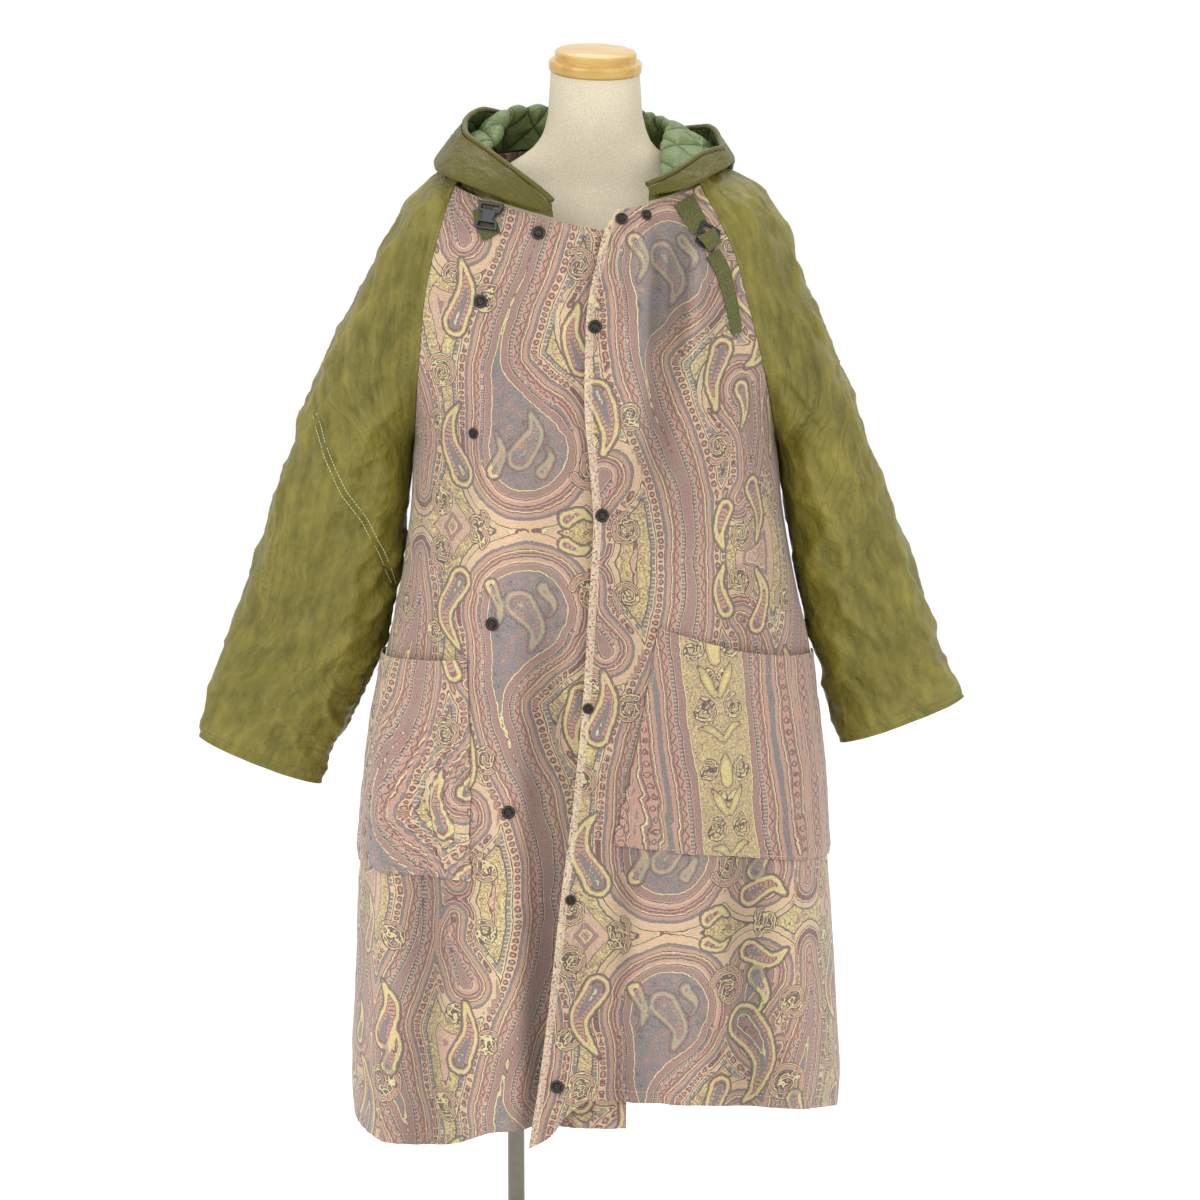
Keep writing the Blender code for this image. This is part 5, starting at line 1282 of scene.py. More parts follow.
class Value:
    """A number that nodes work out. Arithmetic with it makes Math nodes."""

    __add__, __radd__ = operator("ADD"), operator("ADD", True)
    __sub__, __rsub__ = operator("SUBTRACT"), operator("SUBTRACT", True)
    __mul__, __rmul__ = operator("MULTIPLY"), operator("MULTIPLY", True)
    __truediv__, __pow__, __abs__ = operator("DIVIDE"), operator("POWER"), operator("ABSOLUTE")
    __lt__, __gt__ = operator("LESS_THAN"), operator("GREATER_THAN")
    larger, smaller = operator("MAXIMUM"), operator("MINIMUM")
    fraction, sine, root = operator("FRACT"), operator("SINE"), operator("SQRT")
    there_and_back = operator("PINGPONG")

    def __init__(self, web, socket):
        self.web = web
        self.socket = socket

    def clamped(self):
        """The same number, held between 0 and 1."""
        self.socket.node.use_clamp = True
        return self


class Web:
    """A material's node tree, built by calls that return values or colour sockets."""

    def __init__(self, name, roughness, metallic=0.0):
        self.material = bpy.data.materials.new(name)
        self.material.use_nodes = True
        self.nodes = self.material.node_tree.nodes
        self.links = self.material.node_tree.links
        self.shader = self.nodes["Principled BSDF"]
        self.shader.inputs["Roughness"].default_value = roughness
        self.shader.inputs["Metallic"].default_value = metallic

    def put(self, value, socket):
        if isinstance(value, Value):
            value = value.socket
        if isinstance(value, bpy.types.NodeSocket):
            self.links.new(value, socket)
        else:
            socket.default_value = value

    def math(self, operation, *values):
        node = self.nodes.new("ShaderNodeMath")
        node.operation = operation
        for value, socket in zip((*values, 0.0, 0.0), node.inputs):
            self.put(value, socket)
        return Value(self, node.outputs[0])

    def attribute(self, name):
        node = self.nodes.new("ShaderNodeAttribute")
        node.attribute_name = name
        return Value(self, node.outputs["Fac"])

    def place(self):
        return self.nodes.new("ShaderNodeTexCoord").outputs["Object"]

    def vector(self, x, y, z=0.0):
        node = self.nodes.new("ShaderNodeCombineXYZ")
        for value, socket in zip((x, y, z), node.inputs):
            self.put(value, socket)
        return node.outputs[0]

    def noise(self, vector, scale, detail=2.0, roughness=0.5):
        node = self.nodes.new("ShaderNodeTexNoise")
        self.put(vector, node.inputs["Vector"])
        node.inputs["Scale"].default_value = scale
        node.inputs["Detail"].default_value = detail
        node.inputs["Roughness"].default_value = roughness
        return Value(self, node.outputs["Fac"])

    def mix(self, share, a, b, mode="MIX"):
        node = self.nodes.new("ShaderNodeMix")
        node.data_type = "RGBA"
        node.blend_type = mode
        for value, number in ((share, 0), (a, 6), (b, 7)):
            self.put(value, node.inputs[number])
        return node.outputs[2]

    def ramp(self, share, stops, smooth=True):
        node = self.nodes.new("ShaderNodeValToRGB")
        node.color_ramp.interpolation = "LINEAR" if smooth else "CONSTANT"
        elements = node.color_ramp.elements
        while len(elements) < len(stops):
            elements.new(0.5)
        for element, (at, colour) in zip(elements, stops):
            element.position = at
            element.color = colour
        self.put(share, node.inputs[0])
        return node.outputs[0]

    def between(self, value, low, high, soft=0.4):
        """1 where low < value < high, with soft edges."""
        return ((value - low) / soft).clamped() * ((high - value) / soft).clamped()

    def contour(self, value, times, width):
        """1 on thin lines of equal value."""
        return abs((value * times).fraction() - 0.5) < width

    def bump(self, height, strength, distance):
        node = self.nodes.new("ShaderNodeBump")
        node.inputs["Strength"].default_value = strength
        node.inputs["Distance"].default_value = distance
        self.put(height, node.inputs["Height"])
        self.links.new(node.outputs[0], self.shader.inputs["Normal"])

    def colour(self, value):
        self.put(value, self.shader.inputs["Base Color"])
        return self.material


PINK = rgb(204, 168, 142)
ROSE = rgb(180, 140, 122)
PEACH = rgb(208, 178, 142)
CREAM = rgb(212, 202, 146)
YELLOW = rgb(212, 198, 122)
MAUVE = rgb(144, 114, 108)
SLATE = rgb(108, 110, 112)
TEAL = rgb(110, 132, 112)
PLUM = rgb(100, 64, 68)
INK = rgb(64, 54, 56)
BLUE = rgb(96, 112, 120)
WORN = rgb(226, 206, 176)
# distances from a great spine's outline, in millimetres like the bands, and pitches along it
CORE = -24.0                  # further inside than this is the dark middle
ROSETTES, ROSETTE_PITCH, ROSETTE_RADIUS, ROSETTE_EYE = 15.1, 9.0, 3.6, 1.5
STEM, STEM_PITCH, STEM_SWAY, STEM_WIDTH = 6.0, 13, 1.7, 0.8      # the stem lies inside
TEETH_PITCH, TICKS_PITCH, LACE_PITCH = 4.5, 6.0, 5.0
WORN_EDGE = 9.0               # how far in the free front edge is worn pale
TWILL_PITCH = 2.1
# distance from a great spine's outline in millimetres and the colour from there outwards
GREAT_BANDS = (
    (-80, SLATE), (-24, CREAM), (-23, PLUM), (-22, MAUVE), (-15.5, PEACH), (-14.5, INK), (-13.6, SLATE),
    (-9.6, PEACH),
    (-8.8, ROSE), (-3.2, PLUM), (-2.4, MAUVE), (0, CREAM), (1.2, PLUM), (2, ROSE), (6.5, SLATE), (9.4, PLUM),
    (10.2, PEACH), (20, PLUM), (21, CREAM), (22.4, SLATE), (27.2, INK), (28.2, YELLOW), (41, PLUM),
    (42, PINK),
    (52, MAUVE), (57, CREAM), (58.6, PINK), (70, SLATE),
)
LEAF_BANDS = (
    (-40, MAUVE), (-16, CREAM), (-14.8, SLATE), (-10.5, ROSE), (-7, PLUM), (-6.2, PEACH), (-4.8, YELLOW),
    (-2.2, TEAL), (-1.2, PLUM),
)
SCROLL_BANDS = ((-6, ROSE), (-1.5, PLUM), (-0.8, CREAM))
# from and up to which share of the grown flowers' steps, the edge's softness and the colour
GROWTH_BANDS = ((0.08, 0.34, 0.03, ROSE), (0.34, 0.44, 0.02, INK), (0.6, 0.72, 0.02, TEAL))


def band_ramp(web, distance, bands, low, high):
    """The bands' colours, each held until the next one starts."""
    stops = [(min(max((d - low) / (high - low), 0.0), 1.0), colour) for d, colour in bands]
    return web.ramp(((distance - low) / (high - low)).clamped(), stops, smooth=False)


def shawl_cloth():
    web = Web("woven_paisley", 0.88)
    between, mix, noised = web.between, web.mix, web.noise
    flat_x, flat_y = web.attribute("flat_x"), web.attribute("flat_y")
    flat = web.vector(flat_x, flat_y)
    hand = (noised(flat, 0.16, 1.0) - 0.5) * 3.0
    d1, d2, d3 = (web.attribute("d%d" % i) + hand for i in (1, 2, 3))
    s1, s2 = web.attribute("s1"), web.attribute("s2")
    base = band_ramp(web, d1, GREAT_BANDS, -80.0, 80.0)
    # vines in the yellow and pink grounds: contour lines of a noise
    vine = web.contour(noised(flat, 0.055, 1.5), 7.0, 0.11)
    second = web.contour(noised(flat, 0.09, 1.0), 6.0, 0.1)
    ground = between(d1, 28.4, 41).larger(between(d1, 59, 70))
    base = mix(vine * (ground * 0.75), base, PLUM)
    core = d1 < CORE
    patch = web.ramp(noised(flat, 0.07, 4.0, 0.65), (
        (0.3, INK), (0.42, SLATE), (0.49, BLUE), (0.54, MAUVE), (0.6, SLATE), (0.68, ROSE)))
    bright = web.attribute("bright")
    patch = mix(bright, patch, YELLOW)
    base = mix(core * 0.9, base, patch)
    pink_zone = between(d1, 42.5, 52).larger(core.larger(between(d1, 70, 90)))
    base = mix(second * (pink_zone * 0.6), base, mix(core, TEAL, MAUVE))
    # a mirrored growth of flowers in the wide grounds
    mirrored = web.vector(flat_x.there_and_back(43.0), flat_y.there_and_back(71.7))
    grown = (noised(mirrored, 0.07, 2.0, 0.6) * 8.0).fraction()
    wide = between(d1, 28.6, 41).larger(between(d1, 59, 90)).larger(core * bright)
    for inner, outer, soft, colour in GROWTH_BANDS:
        base = mix(between(grown, inner, outer, soft) * wide, base, colour)
    # a row of rosettes outside the great outline and a winding stem inside it
    cell = ((s1 / ROSETTE_PITCH).fraction() - 0.5) * ROSETTE_PITCH
    off = d1 - ROSETTES
    spot = (cell * cell + off * off).root()
    base = mix(spot < ROSETTE_RADIUS, base, PLUM)
    base = mix(spot < ROSETTE_EYE, base, ROSE)
    stem = abs((d1 + STEM) - (s1 * (2 * np.pi / STEM_PITCH)).sine() * STEM_SWAY)
    base = mix((stem < STEM_WIDTH) * between(d1, -8.8, -3.2), base, PLUM)
    base = mix(((s1 / TEETH_PITCH).fraction() < 0.3) * between(d1, -13.4, -9.8), base, PINK)
    base = mix(((s1 / TICKS_PITCH).fraction() < 0.3) * between(d1, 22.6, 27.0), base, PEACH)
    # leaves and scrolls lie over the bands
    leaf = band_ramp(web, d2, LEAF_BANDS, -40.0, 0.0)
    leaf = mix(((s2 / LACE_PITCH).fraction() < 0.3) * between(d2, -10.2, -7.2), leaf, PLUM)
    leaf = mix(vine * ((d2 < -16) * 0.8), leaf, INK)
    leaf = mix(core * 0.62, leaf, patch)
    base = mix(d2 < 0.0, base, leaf)
    base = mix(between(d2, 0.0, 1.3, 0.1), base, PLUM)
    outside = d2 > 1.0
    scroll = band_ramp(web, d3, SCROLL_BANDS, -6.0, 0.0)
    base = mix((d3 < 0.0) * outside, base, scroll)
    base = mix(between(d3, 0.0, 1.2, 0.1) * outside, base, INK)
    # wefts of other colours run across and change with the height
    wefts = noised(web.vector(flat_x * 0.12, flat_y * 1.1), 1.0, 2.0, 0.6)
    tint = web.ramp(noised(flat, 0.012, 2.0), ((0.35, SLATE), (0.5, MAUVE), (0.62, TEAL)))
    base = mix((wefts - 0.4).clamped() * 1.5, base, tint)
    # threads: a fine twill, mottled where the wefts change places, and faded patches
    threads = noised(flat, 0.62, 2.0, 0.7)
    base = mix((threads - 0.44).clamped() * 1.7, base, PINK)
    base = mix((noised(flat, 0.8, 1.0, 0.6) > 0.57) * 0.34, base, INK)
    # the free front edge is worn pale
    rim = (web.attribute("edge") < WORN_EDGE) * (noised(flat, 0.35, 3.0, 0.7) > 0.47)
    base = mix(rim * 0.65, base, WORN)
    twill = ((flat_x + flat_y) * (2 * np.pi / TWILL_PITCH)).sine()
    shade = 0.93 + twill * 0.07
    fade = 0.86 + noised(flat, 0.006, 3.0) * 0.28
    # painted shade and light: the cloth is darker in the folds' troughs and lighter on their ridges, by the
    # folds' height
    fold_shading = (1.0 + web.attribute("rise") * 0.035).smaller(1.12).larger(0.74)
    shade = (shade * fade) * (fold_shading * web.attribute("tone"))
    base = mix(1.0, base, web.vector(shade, shade, shade), "MULTIPLY")
    web.shader.inputs["Sheen Weight"].default_value = 0.25
    web.shader.inputs["Sheen Roughness"].default_value = 0.5
    web.bump(twill * 0.5 + threads, 0.35, 0.0006)
    return web.colour(base)


def nylon_cloth(name, dark, light, faint=0.0, scale=7.0, quilted=False):
    """Creased nylon, with painted sheen and painted shade in its folds, and in the quilting's hollows when
    quilted. faint is how much of the cloth behind shows through.
    """
    web = Web(name, 0.44)
    between, mix = web.between, web.mix
    place = web.place()
    # the ramp from dark to light by cloud and streaks: partly the nylon's uneven colour, partly painted
    # sheen
    cloud = web.noise(place, scale, 4.0, 0.6)
    stretched = web.vector(web.attribute("flat_x") * 0.055, web.attribute("flat_y") * 0.018)
    streaks = web.noise(stretched, 1.0, 5.0, 0.7)
    # painted shade and light: the folds' height darkens the troughs and lightens the ridges a little
    rise = web.attribute("rise").smaller(4.0).larger(-4.0)
    base = web.ramp(cloud * 0.18 + streaks * 0.78 + rise * 0.018, ((0.22, dark), (0.74, light)))
    small = web.noise(place, 900.0, 2.0)
    base = mix(small * 0.14, base, rgb(54, 54, 18))
    creased = web.noise(place, 34.0, 5.0, 0.6) + small * 0.03
    if faint:
        d1, d2, s1 = web.attribute("d1"), web.attribute("d2"), web.attribute("s1")
        lines = between(d1, -13, -9.6, 1.0).larger(between(d1, 11, 13.4, 1.0))
        lines = lines.larger(between(d2, -2, 0.6, 0.8).larger(between(d1, -1.4, 1, 0.8)))
        dots = (s1 / ROSETTE_PITCH).fraction() < 0.45
        lines = lines.larger(dots * between(d1, -22, -17, 1.0))
        seen = (web.noise(place, 5.0, 1.0) - 0.4).clamped() * (5.0 * faint)
        base = mix(lines * seen, base, rgb(70, 52, 26))
        base = mix(between(d1, 22, 30, 4.0) * (seen * 0.6), base, rgb(150, 140, 70))
    if quilted:
        a, b = (abs((web.attribute(n) * np.pi).sine()) for n in ("quilt_a", "quilt_b"))
        puff = a.smaller(b)
        # painted shade in the quilting's hollows: darker on the stitched lines and towards them
        base = mix((puff < 0.05) * 0.75, base, rgb(36, 52, 26))
        base = mix((0.3 - puff).clamped(), base, rgb(50, 68, 36))
        creased = (puff ** 0.6) * 0.7 + creased * 1.3
    web.shader.inputs["Specular IOR Level"].default_value = 0.3
    web.bump(creased, 0.8, 0.009)
    return web.colour(base)


def plain_cloth(name, dark, light, pitch):
    web = Web(name, 0.85)
    place = web.place()
    weave = web.noise(place, 1.0 / pitch, 2.0, 0.6)
    cloud = web.noise(place, 9.0, 3.0)
    web.bump(weave, 0.3, 0.0006)
    return web.colour(web.ramp(weave * 0.6 + cloud * 0.4, ((0.35, dark), (0.62, light))))


def cap_wood():
    web = Web("cap_wood_grain", 0.35)
    stretched = web.nodes.new("ShaderNodeMapping")
    stretched.inputs["Scale"].default_value = (4.0, 34.0, 34.0)
    web.put(web.place(), stretched.inputs["Vector"])
    grain = web.noise(stretched.outputs[0], 3.0, 3.0, 0.5)
    web.shader.inputs["Coat Weight"].default_value = 0.3
    return web.colour(web.ramp(grain, ((0.3, rgb(172, 134, 58)), (0.7, rgb(194, 158, 84)))))


def metal(name, colour, roughness, metallic=1.0):
    """Steel, or a moulded plastic where metallic is 0, with faint wear."""
    web = Web(name, roughness, metallic)
    wear = web.noise(web.place(), 130.0, 3.0)
    paler = (*(min(1.0, c * 1.15) for c in colour[:3]), 1.0)
    web.bump(wear, 0.08, 0.0004)
    return web.colour(web.ramp(wear, ((0.3, colour), (0.75, paler))))


def webbing_cloth():
    web = Web("webbing_ribs", 0.75)
    ribs = web.noise(web.place(), 900.0, 1.0)
    web.bump(ribs, 0.5, 0.0006)
    return web.colour(web.ramp(ribs, ((0.35, rgb(54, 58, 22)), (0.65, rgb(92, 94, 40)))))


# ------------------------------------------------------------------ pieces
def fine_pocket(side, grid, u, corners, material, rows=62, count=74):
    t, s = np.linspace(0, 1, rows + 1), np.linspace(0, 1, count + 1)
    (m0, m1), (f0, f1) = np.array(corners["mouth"], float), np.array(corners["foot"], float)
    patch = np.empty((rows + 1, count + 1, 3))
    at_u = np.empty((rows + 1, count + 1))
    z_rows = grid[:, :, 2]
    for j, across in enumerate(s):
        for i, down in enumerate(t):
            mouth = m0 + (m1 - m0) * across + (0, corners["sag"] * 4 * across * (1 - across))
            at, z = mouth + (f0 + (f1 - f0) * across - mouth) * down
            at_u[i, j] = at
            patch[i, j, 2] = z
    # the face's x and y at each (u, z): along the rows first, then between the two nearest rows
    for i in range(rows + 1):
        for j in range(count + 1):
            z, at = patch[i, j, 2], at_u[i, j]
            column = np.clip(np.searchsorted(-u[len(u) // 2], -at), 1, u.shape[1] - 1)
            xy = []
            for k in (column - 1, column):
                heights = z_rows[::-1, k]
                lines = (grid[::-1, k, 0], grid[::-1, k, 1], u[::-1, k])
                xy.append([np.interp(z, heights, line) for line in lines])
            (x0, y0, u0), (x1, y1, u1) = xy
            w = np.clip((at - u0) / (u1 - u0), -1.0, 2.0)
            patch[i, j, 0], patch[i, j, 1] = x0 + w * (x1 - x0), y0 + w * (y1 - y0)
    flip = side == "left"
    edge = np.sin(np.pi * s)[None, :] * step(1, 0.5, t)[:, None]
    rim = np.minimum(np.minimum(step(0, 0.05, s), step(1, 0.95, s))[None, :], step(1, 0.95, t)[:, None])
    lift = 1.0 + (POCKET_LIFT - 1.0) * rim + POCKET_MOUTH * edge
    lift = lift + 0.8 * rim * crumple(patch, 38, 21)
    patch = patch + grid_normals(patch, flip) * lift[..., None]
    sheet = Sheet("cloth_pocket_" + side, patch, COAT_THICKNESS, flip)
    thick = np.full(len(sheet.points), COAT_THICKNESS)[:, None]
    obj = wall(sheet.name, sheet.points + sheet.normals * thick, sheet.points, sheet.quads, material)
    normals = sheet.surface()[1]
    return obj, patch + normals * COAT_THICKNESS, at_u, normals


SNAP_TURNED = (
    (7.3, 0.2), (7.7, 0.5), (7.9, 1.0), (7.8, 1.6), (7.3, 2.2), (6.5, 2.6), (5.7, 2.5), (5.1, 1.9),
    (4.8, 1.3),
    (4.0, 1.1), (3.6, 1.4), (3.1, 2.0), (2.4, 2.2), (1.7, 1.8), (1.2, 1.2), (0.6, 1.0),
)


def fine_snap(name, grid, u, x, z, size, material):
    middle, normal, across, up = frame_on_front(grid, u, x, z)
    angle = np.arange(36) * 2 * np.pi / 36
    circle = np.cos(angle)[:, None] * across + np.sin(angle)[:, None] * up
    rings = [middle + size * r * circle + normal * (SNAP_LIFT + h) for r, h in SNAP_TURNED]
    return lathe_rings(name, rings, material)


def fine_strap(name, grid, u, path, thickness, material, parts=7, count=9):
    path = np.asarray(path, float)
    where = np.linspace(0, len(path) - 1, (len(path) - 1) * parts + 1)
    x, z, width, lift = (curve_through(np.arange(len(path)), path[:, i])(where) for i in range(4))
    along = np.stack([np.gradient(x), np.gradient(z)], -1)
    along = unit(along)
    rows = []
    for i in range(len(where)):
        row = []
        for side in np.linspace(-0.5, 0.5, count) * width[i]:
            at_x, at_z = x[i] - side * along[i, 1], z[i] + side * along[i, 0]
            middle, normal, _, _ = frame_on_front(grid, u, at_x, at_z)
            row.append(middle + normal * lift[i])
        rows.append(row)
    sheet = Sheet(name, np.array(rows), thickness, False)
    return wall(name, sheet.points + sheet.normals * thickness, sheet.points, sheet.quads, material)


def fine_plate(name, grid, u, spec, cells, rows, material):
    """A moulded buckle: the plate's cells with rounded edges."""
    middle, normal, across, up = frame_on_front(grid, u, *spec["at"])
    lean = np.radians(spec["lean"])
    right = across * np.cos(lean) - up * np.sin(lean)
    top = across * np.sin(lean) + up * np.cos(lean)
    share = np.array((-1, -0.7, -0.3, 0.3, 0.7, 1))
    index, points, faces = {}, [], []

    def point(i, j, level):
        if (i, j, level) not in index:
            index[(i, j, level)] = len(points)
            z, half = rows[i]
            height = spec["high"] if level else spec["low"]
            points.append(middle + right * half * share[j] + top * z + normal * height)
        return index[(i, j, level)]

    def solid(i, j):
        return 0 <= i < len(cells) and 0 <= j < len(cells[0]) and cells[i][j] == "#"

    for i in range(len(cells)):
        for j in range(len(cells[0])):
            if not solid(i, j):
                continue
            ring = ((i, j), (i + 1, j), (i + 1, j + 1), (i, j + 1))
            faces.append([point(a, b, 1) for a, b in ring])
            faces.append([point(a, b, 0) for a, b in reversed(ring)])
            for k, (di, dj) in enumerate(((0, -1), (1, 0), (0, 1), (-1, 0))):
                if not solid(i + di, j + dj):
                    (a, b), (c, d) = ring[k], ring[(k + 1) % 4]
                    faces.append([point(a, b, 0), point(c, d, 0), point(c, d, 1), point(a, b, 1)])
    obj = new_object(name, np.array(points) * MM, faces, material, False)
    bevel = obj.modifiers.new("edges", "BEVEL")
    bevel.width = 0.9 * MM
    bevel.segments = 3
    bevel.limit_method = "ANGLE"
    return obj


STITCH_SIDES = 5
# share of a stitch's length, thickness there and how far its middle stands out, in radii
STITCH_RINGS = ((0.0, 0.35, -0.5), (0.12, 0.9, 0.3), (0.5, 1.0, 0.7), (0.88, 0.9, 0.3), (1.0, 0.35, -0.5))


def stitches(name, points, normals, material, length=3.4, gap=1.3, radius=0.42, sink=0.1):
    """A row of thread stitches along a line on the cloth, points and normals in millimetres."""
    points, normals = np.asarray(points, float), np.asarray(normals, float)
    walked = walk(points)
    verts, faces = [], []
    angle = np.arange(STITCH_SIDES) * 2 * np.pi / STITCH_SIDES
    shares, thicks, rises = zip(*STITCH_RINGS)
    for start in np.arange(gap, walked[-1] - length, length + gap):
        at = np.array(shares) * length + start
        line = resample(points, walked, at)
        up = unit(resample(normals, walked, at))
        side = np.cross(unit(line[-1] - line[0]), up)
        base = len(verts)
        for k, (thick, rise) in enumerate(zip(thicks, rises)):
            centre = line[k] + up[k] * (radius * rise - sink)
            for a in angle:
                verts.append(centre + radius * thick * (np.cos(a) * side[k] + np.sin(a) * up[k]))
        last = len(verts) - STITCH_SIDES
        for ring in range(base, last, STITCH_SIDES):
            for a in range(STITCH_SIDES):
                b = (a + 1) % STITCH_SIDES
                faces.append((ring + a, ring + b, ring + STITCH_SIDES + b, ring + STITCH_SIDES + a))
        faces.append(tuple(base + a for a in reversed(range(STITCH_SIDES))))
        faces.append(tuple(last + a for a in range(STITCH_SIDES)))
    return new_object(name, np.array(verts) * MM, faces, material, True, 80)


def inset(grid, normals, side, distance, start=0.0, end=1.0):
    """The line at a distance from one edge of a grid: side is first, last (column), top or foot (row)."""
    g, n = grid, normals
    if side in ("top", "foot"):
        g, n = np.swapaxes(g, 0, 1), np.swapaxes(n, 0, 1)
    if side in ("last", "foot"):
        g, n = g[:, ::-1], n[:, ::-1]
    a, b = int(start * (len(g) - 1)), int(end * (len(g) - 1)) + 1
    line, up = [], []
    for points, normal in zip(g[a:b], n[a:b]):
        walked = walk(points[:40])
        line.append(resample(points[:40], walked, [distance])[0])
        up.append(resample(normal[:40], walked, [distance])[0])
    return np.array(line), np.array(up)


def finer_grid(grid, times):
    """A grid with more rows and columns on the same surface."""
    for axis in (0, 1):
        g = np.moveaxis(grid, axis, 0)
        p = extended(g)
        shares = np.linspace(0, 1, times, endpoint=False)
        pieces = [curve_between(p[:-3], p[1:-2], p[2:-1], p[3:], t) for t in shares]
        out = np.stack(pieces, 1).reshape(-1, *g.shape[1:])
        grid = np.moveaxis(np.concatenate([out, g[-1:]]), 0, axis)
    return grid


def fine_hood(neck, shell_material, lining_material, rim_material, thread):
    grid = finer_grid(hood_grid(neck, HOOD_AROUND, HOOD_UP), 5)
    lengths = walk_down(grid)
    sheet = Sheet("padded_hood_lining", grid, 0.0, flip=True)
    puff, thickness = quilting(grid, lengths)
    soft = 0.8 * crumple(grid, 18, 31) * (puff / QUILT_HEIGHT)
    space = ROOM_SHARE * room(grid, sheet.normals) - HOOD_SIDES
    height = np.minimum(puff * 1.5 + soft + thickness - 1.0, space)
    height = np.minimum(height, HOLLOW_SHARE * hollow_radius(grid, sheet.normals) + 0.3)
    height = np.maximum(height, THINNEST).reshape(-1)
    base = sheet.points + HOOD_SIDES * sheet.normals
    height = pressed(base, sheet.normals, height, sheet.quads)
    padded = base + sheet.normals * height[:, None]
    lining = wall("padded_hood_lining", padded, base, sheet.quads, lining_material)
    u = walk(grid.mean(axis=0))[None, :]
    give(lining, "quilt_a", (u + lengths) / QUILT_PITCH)
    give(lining, "quilt_b", (u - lengths) / QUILT_PITCH)
    base = sheet.points - HOOD_SIDES * sheet.normals
    wave = 0.9 * ridged(grid, 44, 32).reshape(-1) + 0.5 * crumple(grid, 20, 33).reshape(-1) + 1.0
    space = (ROOM_SHARE * room(grid, -sheet.normals) - HOOD_SIDES).reshape(-1)
    bend = (HOLLOW_SHARE * hollow_radius(grid, -sheet.normals)).reshape(-1)
    free = np.maximum(np.minimum(wave, space), THINNEST)
    free = np.minimum(free, np.maximum(bend, THINNEST))
    outer = base - free[:, None] * sheet.normals
    shell = wall("cloth_hood_shell", outer, base, sheet.quads[:, [0, 3, 2, 1]], shell_material)
    outward = unit(grid[-1] - grid[-2])
    normals = sheet.normals.reshape(grid.shape)[-1]
    middle = grid[-1] + outward * (RIM_RADIUS + 0.4) + normals * 0.6
    rim = tube("hood_rim_binding", middle, RIM_RADIUS * 0.95, 12, rim_material)
    for back in (11, 17):
        line, up = inset(outer.reshape(grid.shape), -sheet.normals.reshape(grid.shape), "foot", back)
        stitches("hood_stitches_%d" % back, line, up, thread)
    return lining, shell, rim


def rounded_rim(thickness, edge):
    """Heights and insets from the foot of a round plate up to its rounded upper edge."""
    turns = np.linspace(0, np.pi / 2, 7)
    turned = [(thickness - edge * (1 - np.sin(a)), edge * (1 - np.cos(a))) for a in turns]
    return [(0.0, 2.0), (0.5, 0.8), (1.5, 0.0)] + turned


def fine_form(linen, wood, steel):
    at = by_height(TORSO, ("z", "cx", "cy", "w", "d"))
    rings = []
    for z in np.r_[800.0, 802.5, 806.0, np.linspace(812, 1510, 90)]:
        shrink = 6.0 * step(812, 800, z) * 0.3
        cx, cy, half, depth = (float(at[name](z)) for name in ("cx", "cy", "w", "d"))
        rings.append(ellipse_ring(cx, cy, z, half - shrink, depth - shrink, FORM_SIDES, 2.2))
    middle = np.array(CAP_MIDDLE)
    x, y = middle[0], middle[1] + 3
    seat = tilt(ellipse_ring(x, y, middle[2] - 0.4, 52.0, 52.0, FORM_SIDES), middle)
    last = rings[-1]
    for share in (0.25, 0.5, 0.75, 0.93):
        rings.append(last + (seat - last) * share)
    rings.append(seat)
    torso = lathe_rings("linen_form_torso", rings, linen)
    heights, radii = np.array(CAP_PROFILE, float).T
    corners = np.arange(len(heights))
    t = np.linspace(0, len(heights) - 1, 43)
    rings = []
    for z, r in zip(np.interp(t, corners, heights), np.interp(t, corners, radii)):
        rings.append(tilt(ellipse_ring(x, y, middle[2] + z, r, r, FORM_SIDES), middle))
    cap = lathe_rings("turned_cap", rings, wood)
    pole = [ellipse_ring(POLE["x"], POLE["y"], z, POLE["radius"], POLE["radius"], 64)
            for z in np.linspace(POLE["bottom"], POLE["top"], 12)]
    pole = lathe_rings("pole_tube", pole, steel)
    rim = rounded_rim(BASE["thickness"], BASE["edge"])
    rings = [ellipse_ring(0, 0, z, BASE["radius"] - r, BASE["radius"] - r, 144) for z, r in rim]
    base = lathe_rings("base_plate", rings, steel)
    return torso, cap, pole, base


def stand_for(obj, node):
    """Hides the solid that a piece stands for."""
    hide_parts(node)


# node, slot and the proportions of the flat width and length
CUT_PIECES = (
    ("front_right", "shawl_cloth", (0.42, 1.14)), ("front_left", "shawl_cloth", (0.46, 1.16)),
    ("back", "shawl_cloth", (0.86, 1.2)), ("sleeve_right", "olive_nylon", (0.5, 0.98)),
    ("sleeve_left", "olive_nylon", (0.5, 0.96)),
)


